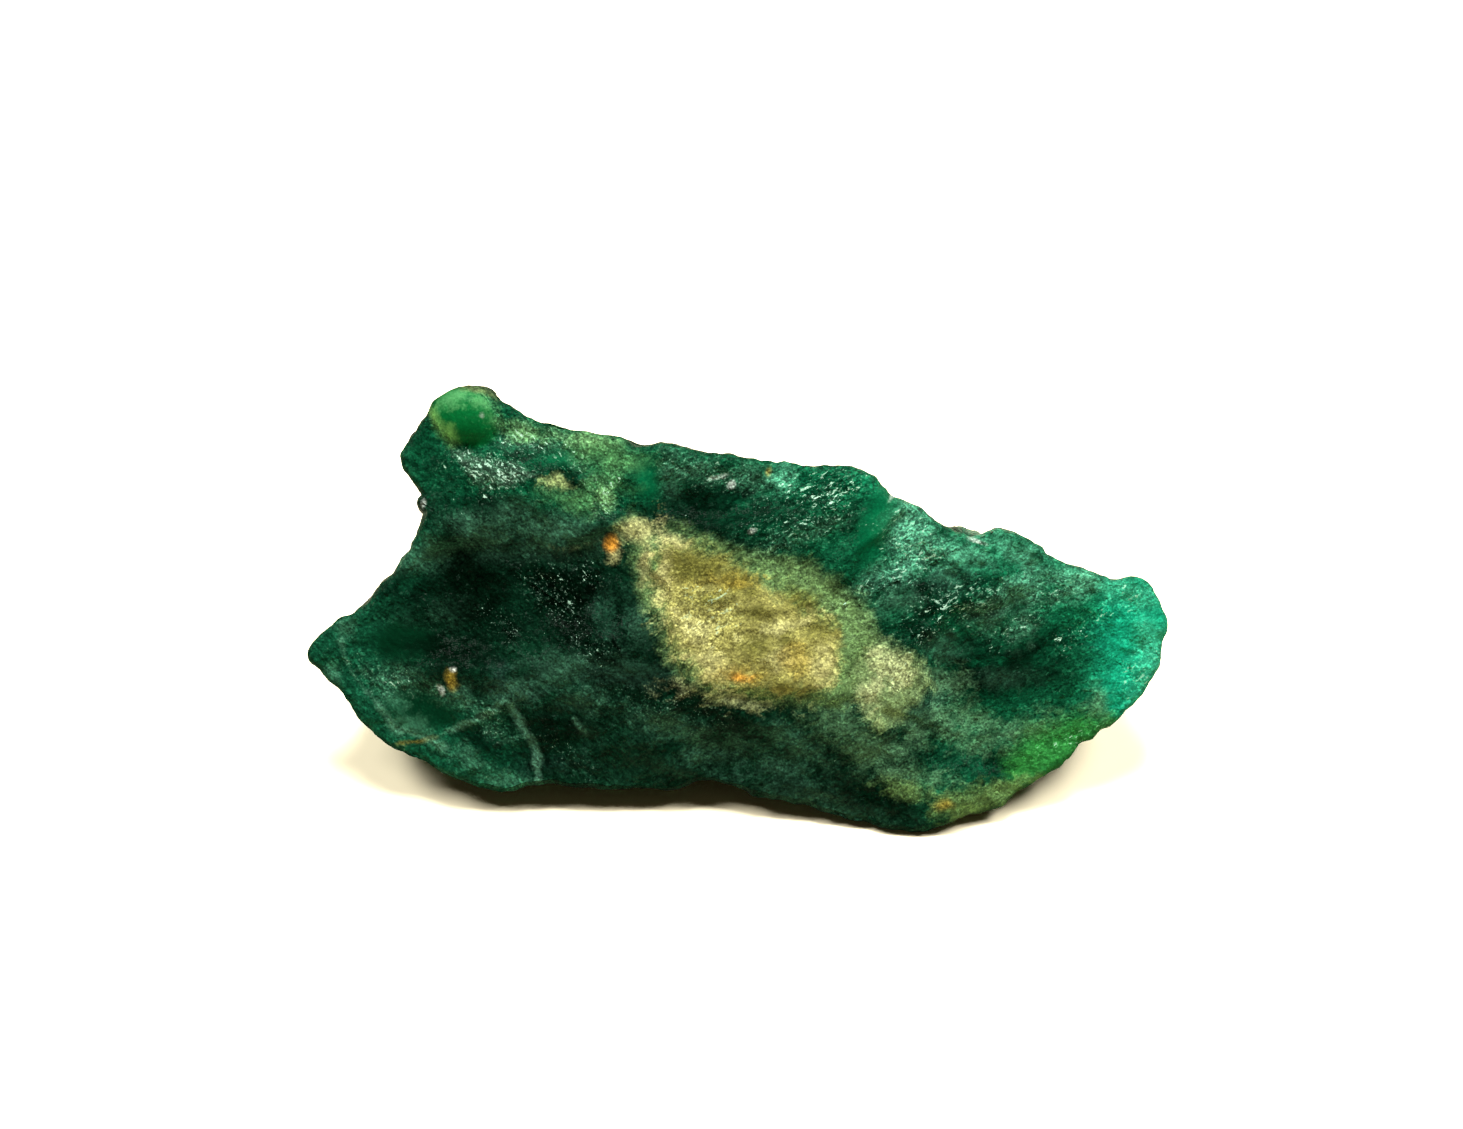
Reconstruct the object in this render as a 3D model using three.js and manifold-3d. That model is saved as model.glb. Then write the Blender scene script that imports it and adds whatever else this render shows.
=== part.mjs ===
// Rough grandidierite: one broken, thick slab of dark blue-green stone, lying tilted on a small flat.
// Its broad front face leans back. The face has a frame of its own: u to the right along the face,
// v up its slope and w straight out of it. All lengths are in millimetres, with +Z up.

import * as THREE from 'three';
import { mergeVertices } from 'three/addons/utils/BufferGeometryUtils.js';
import Module from 'manifold-3d';

// ---- Driving dimensions ----

const faceLean = THREE.MathUtils.degToRad(50); // how far the broad face's normal rises from level
const heartHeight = 6.6; // height of the face frame's origin above the resting flat
const heart = [-1.9, -3.7]; // the (u, v) that every spoke of the surface runs out from

// The broken edge as seen square on to the face, anticlockwise from the right-hand tip.
const outline = [
  [20.0, 0.1], [19.4, 1.4], [18.5, 1.75], [17.4, 1.9], [16.6, 2.2], [14.8, 2.65], [13.3, 3.7],
  [12.1, 4.4], [11.3, 4.5], [10.3, 4.35], [9.0, 4.75], [7.4, 5.75], [6.1, 6.95], [5.0, 7.2],
  [3.2, 7.2], [1.0, 7.45], [-1.9, 7.9], [-5.2, 8.35], [-6.0, 8.7], [-8.4, 9.05], [-10.5, 9.65],
  [-11.6, 10.5], [-12.2, 10.9], [-13.2, 10.75], [-14.1, 10.0], [-15.05, 8.8], [-15.8, 7.5],
  [-15.2, 6.1], [-14.6, 4.95], [-15.3, 3.7], [-16.1, 2.4], [-17.7, 0.6], [-19.2, -0.1],
  [-20.35, -1.4], [-19.8, -2.4], [-18.4, -3.6], [-16.9, -5.2], [-14.5, -6.7], [-12.2, -7.95],
  [-11.1, -8.1], [-9.4, -7.75], [-6.5, -8.0], [-3.6, -8.0], [-2.0, -7.65], [-0.4, -7.95],
  [1.8, -8.45], [4.0, -9.2], [7.0, -9.8], [9.8, -9.5], [12.1, -8.85], [14.1, -7.3], [16.4, -5.8],
  [18.2, -4.45], [19.4, -2.4],
];

// Breaks of the broad face: height w at the face's middle, and its fall towards +u and towards +v.
const facePlanes = [
  { level: 0.9, fallU: 0.0, fallV: 0.12 },
  { level: 2.65, fallU: -0.08, fallV: -0.36 },
  { level: 2.5, fallU: 0.2, fallV: -0.04 },
  { level: 4.9, fallU: -0.3, fallV: 0.0 },
  { level: 18.6, fallU: -0.85, fallV: -0.98 },
];

// Scooped breaks in the face, as ellipses: middle, half length and width, turn in degrees, depth.
const hollows = [
  { at: [-11.2, 0.9], radii: [7.0, 3.8], turn: 6, rise: -1.25 },
  { at: [-12.6, 1.9], radii: [2.6, 1.9], turn: -10, rise: -0.75 },
  { at: [-15.6, -1.0], radii: [1.9, 1.2], turn: -5, rise: -0.3 },
  { at: [12.6, -1.6], radii: [7.0, 3.2], turn: 24, rise: -1.2 },
  { at: [-1.3, 5.6], radii: [3.6, 1.5], turn: -8, rise: -0.55 },
  { at: [8.3, 2.0], radii: [2.6, 1.5], turn: -35, rise: -0.35 },
  { at: [0.5, -6.4], radii: [4.5, 1.5], turn: -5, rise: -0.3 },
];

// Swells of the face, given in the same way.
const swells = [
  { at: [7.6, -2.9], radii: [2.3, 1.8], turn: -40, rise: 0.35 },
  { at: [10.8, -8.0], radii: [3.0, 1.7], turn: 12, rise: 0.6 },
  { at: [-5.6, 4.4], radii: [1.6, 0.8], turn: 5, rise: 0.25 },
  { at: [0.6, -0.2], radii: [5.2, 3.4], turn: -30, rise: 0.35 },
  { at: [-10.5, 6.6], radii: [4.2, 2.0], turn: -15, rise: 0.45 },
];

// Steps of the face: the ground to the left of each line stands higher, and sinks back over fade.
const steps = [
  { from: [-15.0, 3.1], to: [-8.2, 3.1], rise: 0.85, fade: 5.0 }, // the ledge over the big hollow
  { from: [-8.6, 3.0], to: [-5.4, 4.0], rise: 0.6, fade: 3.0 },
  { from: [4.4, 1.2], to: [7.6, 5.6], rise: 0.35, fade: 2.5 },
  { from: [-4.7, 3.2], to: [-2.4, -3.3], rise: 0.45, fade: 3.0 },
  { from: [-2.4, -3.3], to: [5.6, -3.7], rise: 0.35, fade: 2.5 },
  { from: [5.6, -3.7], to: [9.4, -5.4], rise: 0.35, fade: 2.0 },
  { from: [9.3, 0.1], to: [14.6, 1.7], rise: 0.25, fade: 1.4 },
  { from: [8.0, 1.6], to: [13.8, 3.1], rise: 0.2, fade: 1.2 },
  { from: [12.8, -0.8], to: [17.6, 1.2], rise: 0.25, fade: 1.6 },
  { from: [2.8, 4.9], to: [-1.4, 4.2], rise: 0.3, fade: 1.4 },
  { from: [-13.0, -2.3], to: [-15.6, -1.8], rise: 0.3, fade: 1.4 },
  { from: [-10.3, -3.8], to: [-9.4, -7.6], rise: 0.2, fade: 2.0 },
  { from: [-14.1, -5.2], to: [-10.4, -3.8], rise: 0.2, fade: 1.6 },
  { from: [-7.6, -4.2], to: [-6.2, -6.8], rise: 0.15, fade: 1.5 },
];
const stepHalfWidth = 0.5;

// The glassy knob on the top left-hand corner: a dome sunk partly in the face.
const knob = { at: [-12.6, 9.3], radii: [1.9, 1.45], turn: -15, foot: 0.1, rise: 1.5, sunk: 0.15 };

// Breaks of the back and underside: outward normal in the part's axes, distance from the x axis.
const backFacets = [
  { normal: [0.1, 1.0, 0.55], reach: 13.0 },
  { normal: [0.0, 1.0, 0.05], reach: 9.4 },
  { normal: [0.06, 1.0, -0.55], reach: 7.0 },
  { normal: [0.6, 1.0, 0.05], reach: 13.6 },
  { normal: [-0.45, 1.0, -0.25], reach: 12.6 },
  { normal: [-0.42, 0.25, -1.0], reach: 4.5 },
  { normal: [0.52, 0.2, -1.0], reach: 6.5 },
  { normal: [-0.05, -0.55, -1.0], reach: 2.7 },
  { normal: [-1.0, 0.55, -0.35], reach: 17.6 },
  { normal: [1.0, 0.45, -0.45], reach: 17.4 },
  { normal: [-0.15, 0.62, -1.0], reach: 6.3 },
];
const floorSink = 0.5; // the underside reaches this far below the flat before the flat cuts it off
const leastThickness = 1.9;
const cornerThickness = 1.2; // more of it behind the knob

const frontInset = 0.2; // the front sheet stops this far inside the outline
const backInset = 1.15; // and the back sheet this far inside the worn outline
const wallBulge = 0.42; // the wall between them swells out again by this
const wearReach = 1.5; // how far along the edge its wiggles are worn away at the back

// Chipped roughness: size of the chips, and their height on the front face and on the back.
const roughness = [
  { size: 5.2, calm: 0.28, wild: 0.75, salt: 1 },
  { size: 2.1, calm: 0.15, wild: 0.45, salt: 2 },
];
const rimWildness = 0.15;
const wander = { size: 1.7, reach: 0.35, salt: 11 }; // how far the lines of the breaks stray

const columns = 56; // grid cells along the face
const rows = 32; // grid cells up the face
const wallRings = 4; // grid cells through the broken edge
const around = 2 * (columns + rows);

// ---- Small helpers ----

const { clamp, smoothstep, lerp } = THREE.MathUtils;
const fraction = (x) => x - Math.floor(x);

function softMin(a, b, blend) {
  const share = clamp(0.5 + (0.5 * (b - a)) / blend, 0, 1);
  return lerp(b, a, share) - blend * share * (1 - share);
}

function hashed(cell, salt) {
  const mixed = cell[0] * 127.1 + cell[1] * 311.7 + cell[2] * 74.7 + salt * 19.19;
  return 2 * fraction(Math.sin(mixed) * 43758.5453) - 1;
}

// Random heights at the corners of a lattice of tetrahedra, joined by flat facets, between -1 and 1.
function chips(x, y, z, size, salt) {
  const turned = [0.36 * x + 0.48 * y - 0.8 * z, -0.8 * x + 0.6 * y, 0.48 * x + 0.64 * y + 0.6 * z];
  const scaled = turned.map((value) => value / size + salt * 3.7);
  const skew = (scaled[0] + scaled[1] + scaled[2]) / 3;
  const corner = scaled.map((value) => Math.floor(value + skew));
  const part = scaled.map((value) => fraction(value + skew));
  const order = [0, 1, 2].sort((a, b) => part[b] - part[a]);
  let total = hashed(corner, salt) * (1 - part[order[0]]);
  order.forEach((axis, step) => {
    corner[axis] += 1;
    const next = step < 2 ? part[order[step + 1]] : 0;
    total += hashed(corner, salt) * (part[axis] - next);
  });
  return total;
}

// ---- The front face ----

// Squared distance from the middle of an ellipse, 1 on its edge.
function ellipse(u, v, { at, radii, turn }) {
  const angle = THREE.MathUtils.degToRad(turn);
  const du = u - at[0];
  const dv = v - at[1];
  const along = (du * Math.cos(angle) + dv * Math.sin(angle)) / radii[0];
  const across = (dv * Math.cos(angle) - du * Math.sin(angle)) / radii[1];
  return along ** 2 + across ** 2;
}

function mound(u, v, spot) {
  return spot.rise * Math.max(1 - ellipse(u, v, spot), 0) ** 1.5;
}

function stepHeight(u, v, { from, to, rise, fade }) {
  const length = Math.hypot(to[0] - from[0], to[1] - from[1]);
  const x = (to[0] - from[0]) / length;
  const y = (to[1] - from[1]) / length;
  const along = (u - from[0]) * x + (v - from[1]) * y;
  const beside = (v - from[1]) * x - (u - from[0]) * y;
  const ends = smoothstep(along, -0.6, 0.9) * smoothstep(length - along, -0.6, 0.9);
  const edge = smoothstep(beside, -stepHalfWidth, stepHalfWidth);
  return rise * ends * edge * Math.exp(-Math.max(beside, 0) / fade);
}

function frontHeight(u, v) {
  const wu = u + wander.reach * chips(u, v, 0, wander.size, wander.salt);
  const wv = v + wander.reach * chips(u, v, 0, wander.size, wander.salt + 1);
  const levels = facePlanes.map(({ level, fallU, fallV }) => level - fallU * wu - fallV * wv);
  let height = levels.reduce((lowest, level) => softMin(lowest, level, 0.7));
  [...hollows, ...swells].forEach((spot) => { height += mound(wu, wv, spot); });
  steps.forEach((step) => { height += stepHeight(wu, wv, step); });
  const dome = Math.max(1 - ellipse(u, v, knob), 0);
  return -softMin(-height, -(knob.foot + knob.rise * (dome - knob.sunk)), 0.4);
}

// ---- The back ----

const sinLean = Math.sin(faceLean);
const cosLean = Math.cos(faceLean);

// Depth behind the face's plane: the nearest of the back's breaks, which meet in worn edges.
function backDepth(u, v) {
  const depths = backFacets.map(({ normal: [x, y, z], reach }) => {
    const slopeV = y * sinLean + z * cosLean;
    const slopeW = z * sinLean - y * cosLean;
    return (z * heartHeight + x * u + slopeV * v - reach) / slopeW;
  });
  return depths.reduce((nearest, depth) => softMin(nearest, depth, 0.6));
}

function backHeight(u, v) {
  const floor = -(heartHeight + floorSink + v * cosLean) / sinLean;
  const corner = smoothstep(v, 5.5, 8.5) * smoothstep(-u, 8.5, 11);
  const thickness = leastThickness + cornerThickness * corner;
  return Math.min(Math.max(-backDepth(u, v), floor), frontHeight(u, v) - thickness);
}

// ---- The two rims ----

function outwards(rim) {
  return rim.map((_, k) => {
    const before = rim[(k + rim.length - 1) % rim.length];
    const after = rim[(k + 1) % rim.length];
    const length = Math.hypot(after[0] - before[0], after[1] - before[1]);
    return [(after[1] - before[1]) / length, -(after[0] - before[0]) / length];
  });
}

function inset(rim, distance) {
  const outward = outwards(rim);
  return rim.map(([u, v], k) => [u - distance * outward[k][0], v - distance * outward[k][1]]);
}

// The rim with its small wiggles worn away, still at the same stations.
function worn(rim, reach) {
  const spacing = curve.getLength() / rim.length;
  const half = Math.round((3 * reach) / spacing);
  return rim.map((_, k) => {
    const sum = [0, 0, 0];
    for (let shift = -half; shift <= half; shift++) {
      const share = Math.exp(-0.5 * ((shift * spacing) / reach) ** 2);
      const [u, v] = rim[(k + shift + rim.length) % rim.length];
      sum[0] += share * u;
      sum[1] += share * v;
      sum[2] += share;
    }
    return [sum[0] / sum[2], sum[1] / sum[2]];
  });
}

const curvePoints = outline.map(([u, v]) => new THREE.Vector3(u, v, 0));
const curve = new THREE.CatmullRomCurve3(curvePoints, true, 'catmullrom', 0.5);
curve.arcLengthDivisions = 40 * outline.length;
const rim = curve.getSpacedPoints(around).slice(0, around).map(({ x, y }) => [x, y]);
const frontRim = inset(rim, frontInset);
const backRim = inset(worn(rim, wearReach), backInset);

// ---- The grid: rings of squares that grow from the heart to the rim ----

// Point (i, j) of the grid, for a given rim: part of the way along the spoke to its rim station.
function sheetPoint(i, j, rimPoints) {
  const a = (2 * i) / columns - 1;
  const b = (2 * j) / rows - 1;
  const out = Math.max(Math.abs(a), Math.abs(b));
  if (out === 0) return heart;
  const [sa, sb] = [a / out, b / out];
  let station = 1.5 * rows + columns + ((1 + sa) * columns) / 2; // along the bottom
  if (sa < -1 + 1e-9) station = rows / 2 + columns + ((1 - sb) * rows) / 2; // down the left side
  if (sb > 1 - 1e-9) station = rows / 2 + ((1 - sa) * columns) / 2; // back along the top
  if (sa > 1 - 1e-9) station = (sb * rows) / 2; // up the right side
  station = (station + around) % around;
  const low = rimPoints[Math.floor(station) % around];
  const high = rimPoints[(Math.floor(station) + 1) % around];
  const part = fraction(station);
  return [0, 1].map((k) => heart[k] + out * (lerp(low[k], high[k], part) - heart[k]));
}

const gridIndex = (i, j) => i * (rows + 1) + j;
const gridSize = (columns + 1) * (rows + 1);

function rimIndices() {
  const indices = [];
  for (let j = rows / 2; j < rows; j++) indices.push(gridIndex(columns, j));
  for (let i = columns; i > 0; i--) indices.push(gridIndex(i, rows));
  for (let j = rows; j > 0; j--) indices.push(gridIndex(0, j));
  for (let i = 0; i < columns; i++) indices.push(gridIndex(i, 0));
  for (let j = 0; j < rows / 2; j++) indices.push(gridIndex(columns, j));
  return indices;
}

// Two triangles for each cell, cut along the spokes so that none is a sliver.
function sheetTriangles(first, facingFront) {
  const triangles = [];
  for (let i = 0; i < columns; i++) {
    for (let j = 0; j < rows; j++) {
      const corners = [gridIndex(i, j), gridIndex(i + 1, j), gridIndex(i + 1, j + 1), gridIndex(i, j + 1)];
      const [a, b, c, d] = corners.map((index) => index + first);
      const rising = (i + 0.5 - columns / 2) * (j + 0.5 - rows / 2) > 0;
      const pair = rising ? [[a, b, c], [a, c, d]] : [[a, b, d], [b, c, d]];
      pair.forEach((triangle) => triangles.push(...(facingFront ? triangle : triangle.reverse())));
    }
  }
  return triangles;
}

// ---- The stone ----

// The whole skin in the face's frame: front sheet, back sheet and the wall rings between them.
function faceFrameSkin() {
  const points = [];
  const wildness = [];
  for (let i = 0; i <= columns; i++) {
    for (let j = 0; j <= rows; j++) {
      const [u, v] = sheetPoint(i, j, frontRim);
      points[gridIndex(i, j)] = [u, v, frontHeight(u, v)];
      wildness[gridIndex(i, j)] = 0;
      const [backU, backV] = sheetPoint(i, j, backRim);
      points[gridSize + gridIndex(i, j)] = [backU, backV, backHeight(backU, backV)];
      wildness[gridSize + gridIndex(i, j)] = 1;
    }
  }
  const edge = rimIndices();
  edge.forEach((index) => { wildness[index] = rimWildness; });
  const rings = [edge];
  const outward = outwards(rim);
  for (let ring = 1; ring < wallRings; ring++) {
    const t = ring / wallRings;
    const bulge = wallBulge * Math.sin(Math.PI * t ** 0.55) ** 0.8;
    rings.push(edge.map((index, k) => {
      const [front, back] = [points[index], points[gridSize + index]];
      const [u, v, w] = front.map((value, axis) => lerp(value, back[axis], t));
      wildness.push(smoothstep(t, 0, 0.5));
      return points.push([u + bulge * outward[k][0], v + bulge * outward[k][1], w]) - 1;
    }));
  }
  rings.push(edge.map((index) => gridSize + index));
  const triangles = [...sheetTriangles(0, true), ...sheetTriangles(gridSize, false)];
  for (let ring = 0; ring < wallRings; ring++) {
    for (let k = 0; k < around; k++) {
      const next = (k + 1) % around;
      const [a, a2] = [rings[ring][k], rings[ring][next]];
      const [b, b2] = [rings[ring + 1][k], rings[ring + 1][next]];
      triangles.push(a, b, b2, a, b2, a2);
    }
  }
  return { points, wildness, triangles };
}

// Chips push the skin in and out along its own normals.
function roughSkin() {
  const { points, wildness, triangles } = faceFrameSkin();
  const geometry = new THREE.BufferGeometry();
  geometry.setAttribute('position', new THREE.Float32BufferAttribute(points.flat(), 3));
  geometry.setIndex(triangles);
  geometry.computeVertexNormals();
  const position = geometry.attributes.position;
  const normal = new THREE.Vector3();
  points.forEach(([u, v, w], k) => {
    const heights = roughness.map(({ size, calm, wild, salt }) => (
      lerp(calm, wild, wildness[k]) * chips(u, v, w, size, salt)));
    normal.fromBufferAttribute(geometry.attributes.normal, k);
    normal.multiplyScalar(heights.reduce((sum, height) => sum + height));
    position.setXYZ(k, u + normal.x, v + normal.y, w + normal.z);
  });
  geometry.deleteAttribute('normal');
  return geometry;
}

// Turns the face's frame into the part's: u is +X, and the face leans back by faceLean.
function faceToPart() {
  const across = new THREE.Vector3(1, 0, 0);
  const upSlope = new THREE.Vector3(0, sinLean, cosLean);
  const outOfFace = new THREE.Vector3(0, -cosLean, sinLean);
  return new THREE.Matrix4().makeBasis(across, upSlope, outOfFace).setPosition(0, 0, heartHeight);
}

const wasm = await Module();
wasm.setup();

function toSolid(geometry) {
  const vertProperties = Float32Array.from(geometry.attributes.position.array);
  const triVerts = Uint32Array.from(geometry.index.array);
  return new wasm.Manifold(new wasm.Mesh({ numProp: 3, vertProperties, triVerts }));
}

function blockUnderFloor() {
  const block = new THREE.BoxGeometry(80, 80, 20).translate(0, 0, -10);
  block.deleteAttribute('normal');
  block.deleteAttribute('uv');
  return mergeVertices(block);
}

function stoneGeometry() {
  const skin = roughSkin().applyMatrix4(faceToPart());
  const { vertProperties, triVerts } = toSolid(skin).subtract(toSolid(blockUnderFloor())).getMesh();
  const geometry = new THREE.BufferGeometry();
  geometry.setAttribute('position', new THREE.Float32BufferAttribute(vertProperties, 3));
  geometry.setIndex(new THREE.Uint32BufferAttribute(triVerts, 1));
  geometry.computeBoundingBox();
  const middle = geometry.boundingBox.getCenter(new THREE.Vector3());
  geometry.translate(-middle.x, -middle.y, -geometry.boundingBox.min.z);
  geometry.computeVertexNormals();
  return geometry;
}

const stoneMaterial = new THREE.MeshStandardMaterial({ color: 0x1c5a48, roughness: 0.45, metalness: 0 });
const stone = new THREE.Mesh(stoneGeometry(), stoneMaterial);
stone.name = 'grandidierite_stone';

const group = new THREE.Group();
group.add(stone);

export default group;
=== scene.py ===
# Rough grandidierite lying on a pale table: the fine surface of the broken slab, its glassy and
# sugary finish with the pale patch and the veins, and the floor, light and camera around it.

import math
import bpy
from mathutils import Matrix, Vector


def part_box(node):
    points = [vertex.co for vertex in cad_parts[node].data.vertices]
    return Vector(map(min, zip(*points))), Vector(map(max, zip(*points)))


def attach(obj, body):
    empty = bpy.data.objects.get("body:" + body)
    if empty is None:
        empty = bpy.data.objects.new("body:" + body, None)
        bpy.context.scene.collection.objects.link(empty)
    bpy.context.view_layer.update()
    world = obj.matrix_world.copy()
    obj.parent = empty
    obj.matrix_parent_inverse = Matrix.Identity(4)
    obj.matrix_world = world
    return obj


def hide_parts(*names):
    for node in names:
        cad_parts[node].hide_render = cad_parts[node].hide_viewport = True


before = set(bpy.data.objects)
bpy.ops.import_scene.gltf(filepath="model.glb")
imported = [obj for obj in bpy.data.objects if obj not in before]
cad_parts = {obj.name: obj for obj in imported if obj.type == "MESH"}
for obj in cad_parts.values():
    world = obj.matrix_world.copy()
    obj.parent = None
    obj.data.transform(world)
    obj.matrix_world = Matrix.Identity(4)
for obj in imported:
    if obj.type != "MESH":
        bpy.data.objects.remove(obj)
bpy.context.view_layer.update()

from types import SimpleNamespace

import bpy
import numpy as np
from mathutils import Vector

millimetre = 0.001
tiny = 1e-9  # the least length that is divided by, and how near counts as equal

# The broad face leans back, and has a frame of its own in millimetres: u to the right along it,
# v up its slope, w straight out of it. The shape, the marks and the camera are all given in it.

slab = {
    "lean": math.radians(50),  # how far the face's normal rises from level
    "heartHeight": 6.6,  # height of the face frame's origin above the floor
    "heart": (-3.0, -3.5),  # every spoke of the surface runs out from here
    "columns": 250,
    "rows": 140,
    "wallRings": 24,
    "curvePoints": 40,  # points worked out between two of the outline's
    "outline": [  # the broken edge, anticlockwise from the right-hand tip
        (19.5, 0.0), (19.15, 1.1), (18.5, 1.75), (17.2, 1.75), (16.6, 1.95), (14.8, 2.4), (13.3, 3.4),
        (12.1, 4.1), (11.6, 4.15), (10.9, 3.85), (10.3, 3.75), (9.3, 4.35), (8.7, 4.8), (8.1, 5.2),
        (7.1, 5.5), (6.0, 6.6), (4.9, 6.95), (3.2, 7.1), (1.0, 7.4), (-1.9, 7.65), (-3.2, 7.85),
        (-5.0, 7.9), (-6.1, 8.5), (-8.4, 9.05), (-10.5, 9.55), (-11.7, 10.2), (-12.2, 10.7),
        (-13.3, 10.7), (-14.3, 10.05), (-15.2, 8.75), (-16.1, 7.5), (-15.5, 6.3), (-15.0, 5.7),
        (-15.15, 5.3), (-14.7, 4.8), (-15.2, 3.8), (-16.1, 2.3), (-17.7, 0.35), (-19.2, -0.3),
        (-20.35, -1.6), (-19.7, -2.5), (-18.6, -3.8), (-17.3, -5.55), (-14.9, -7.0), (-12.4, -8.1),
        (-11.1, -8.35), (-9.4, -7.95), (-6.5, -8.2), (-3.6, -8.25), (-2.0, -7.85), (-0.4, -8.15),
        (1.8, -8.7), (4.0, -9.3), (7.0, -9.8), (9.8, -9.5), (12.1, -8.85), (14.1, -7.3), (16.2, -5.65),
        (18.0, -4.2), (19.15, -2.5),
    ],
    "jags": [(1.1, 0.11, 61), (0.45, 0.06, 62)],  # size, reach and salt of the broken edge's jags
    "frontInset": 0.2,
    "backInset": 1.15,
    "wallBulge": 0.42,
    "bulgePowers": (0.55, 0.8),  # under 1, the first moves the bulge to the face, the second squares it
    "wearReach": 1.5,  # how far along the edge its wiggles are worn away at the back
    "edgeWildness": 0.15,  # how much of the back's rough chips the face's own edge has
    "wildAt": 0.5,  # share of the wall after which its chips are as rough as the back's
    "darkBand": (0.27, 0.25),  # middle and half width of the dark line round the wall, as shares of it
    # chips: size, height on the face, height on the back, salt
    "chips": [(5.2, 0.28, 0.75, 1), (2.1, 0.15, 0.45, 2), (0.95, 0.08, 0.18, 3), (0.45, 0.035, 0.07, 4)],
    "calmedBelow": 5,  # chips under this size are fainter on glassy ground
    "calming": 0.85,  # by this share
    "sugaredBelow": 1,  # chips under this size stand up to twice as high on sugary ground
}

face = {
    # breaks of the face: height at its middle, fall towards +u and towards +v
    "planes": [
        (0.9, 0.0, 0.12), (2.4, -0.08, -0.29), (2.5, 0.2, -0.04), (4.9, -0.3, 0.0), (18.6, -0.85, -0.98),
    ],
    "planeBlend": 0.7,
    # scoops and swells: middle, half length and width, turn in degrees, rise
    "mounds": [
        ((-11.2, 0.9), (7.0, 3.8), 6, -1.25), ((-12.6, 1.9), (2.6, 1.9), -10, -0.75),
        ((-15.6, -1.0), (1.9, 1.2), -5, -0.3), ((12.6, -1.6), (7.0, 3.2), 24, -1.2),
        ((-1.3, 5.6), (3.6, 1.5), -8, -0.55), ((8.3, 2.0), (2.6, 1.5), -35, -0.35),
        ((0.5, -6.4), (4.5, 1.5), -5, -0.3), ((7.6, -2.9), (2.3, 1.8), -40, 0.35),
        ((10.8, -8.0), (3.0, 1.7), 12, 0.6), ((-5.6, 4.4), (1.6, 0.8), 5, 0.25),
        ((0.6, -0.2), (5.2, 3.4), -30, 0.35), ((-10.5, 6.6), (4.2, 2.0), -15, 0.45),
    ],
    "moundPower": 1.5,
    # steps: from, to, rise on the left of that line, how far it takes to sink back, half width
    "steps": [
        ((-14.6, 3.2), (-8.8, 3.0), 0.35, 5.0, 1.6), ((-9.4, 3.0), (-5.9, 3.95), 0.4, 3.0, 0.25),
        ((4.4, 1.2), (7.6, 5.6), 0.35, 2.5, 0.3), ((-4.7, 3.2), (-2.4, -3.3), 0.4, 3.0, 0.3),
        ((-2.4, -3.3), (5.6, -3.7), 0.3, 2.5, 0.3), ((5.6, -3.7), (9.4, -5.4), 0.3, 2.0, 0.3),
        ((9.3, 0.1), (14.6, 1.7), 0.2, 1.4, 0.6), ((12.8, -0.8), (17.6, 1.2), 0.2, 1.6, 0.6),
        ((2.8, 4.9), (-1.4, 4.2), 0.3, 1.4, 0.2), ((-13.0, -2.3), (-15.6, -1.8), 0.3, 1.4, 0.3),
        ((-10.3, -3.8), (-9.4, -7.6), 0.2, 2.0, 0.3), ((-14.1, -5.2), (-10.4, -3.8), 0.2, 1.6, 0.3),
        ((-7.6, -4.2), (-6.2, -6.8), 0.15, 1.5, 0.4),
    ],
    "stepEnds": (-0.6, 0.9),  # a step sets in between these distances from its end
    "wander": [(1.7, 0.35, 11), (0.6, 0.12, 13)],  # size, reach and salt of the strays of those lines
    # sugary ground, where the small chips stand higher: middle, half length and width, turn
    "sugary": [
        ((11.0, 1.0), (5.0, 2.2), 24), ((15.6, 0.6), (3.0, 1.8), 28), ((18.2, -2.6), (1.2, 1.8), 35),
        ((3.4, 5.6), (3.6, 1.8), 10), ((-1.6, 6.6), (3.2, 1.2), -10), ((8.2, 3.2), (2.0, 1.9), 30),
        ((-11.6, 7.2), (2.4, 1.4), -20), ((-8.0, 0.8), (3.0, 2.2), -30), ((0.0, -0.4), (4.4, 3.2), -30),
    ],
    # glassy ground, where the chips are faint: middle, half length and width, turn
    "glassy": [
        ((6.1, 4.2), (0.9, 2.2), -25), ((-15.9, -1.0), (1.7, 1.1), -5),
        ((-14.6, -4.3), (1.7, 1.2), -30), ((-14.9, 7.3), (1.0, 2.4), 15),
        ((14.0, -2.6), (2.6, 1.6), 30), ((16.2, -4.0), (2.2, 0.9), 40),
    ],
    "groundPower": 0.7,  # how squarely sugary and glassy ground ends
    # the clear blister on the upper left corner: a mound less what is sunk, times its rise, above its foot
    "knob": {
        "at": (-13.0, 9.3),
        "radii": (1.6, 1.3),
        "turn": -25,
        "foot": 0.25,
        "rise": 0.85,
        "sunk": 0.3,
        "power": 0.6,
        "blend": 0.2,
        "calmPower": 0.3,
    },
}

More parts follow.
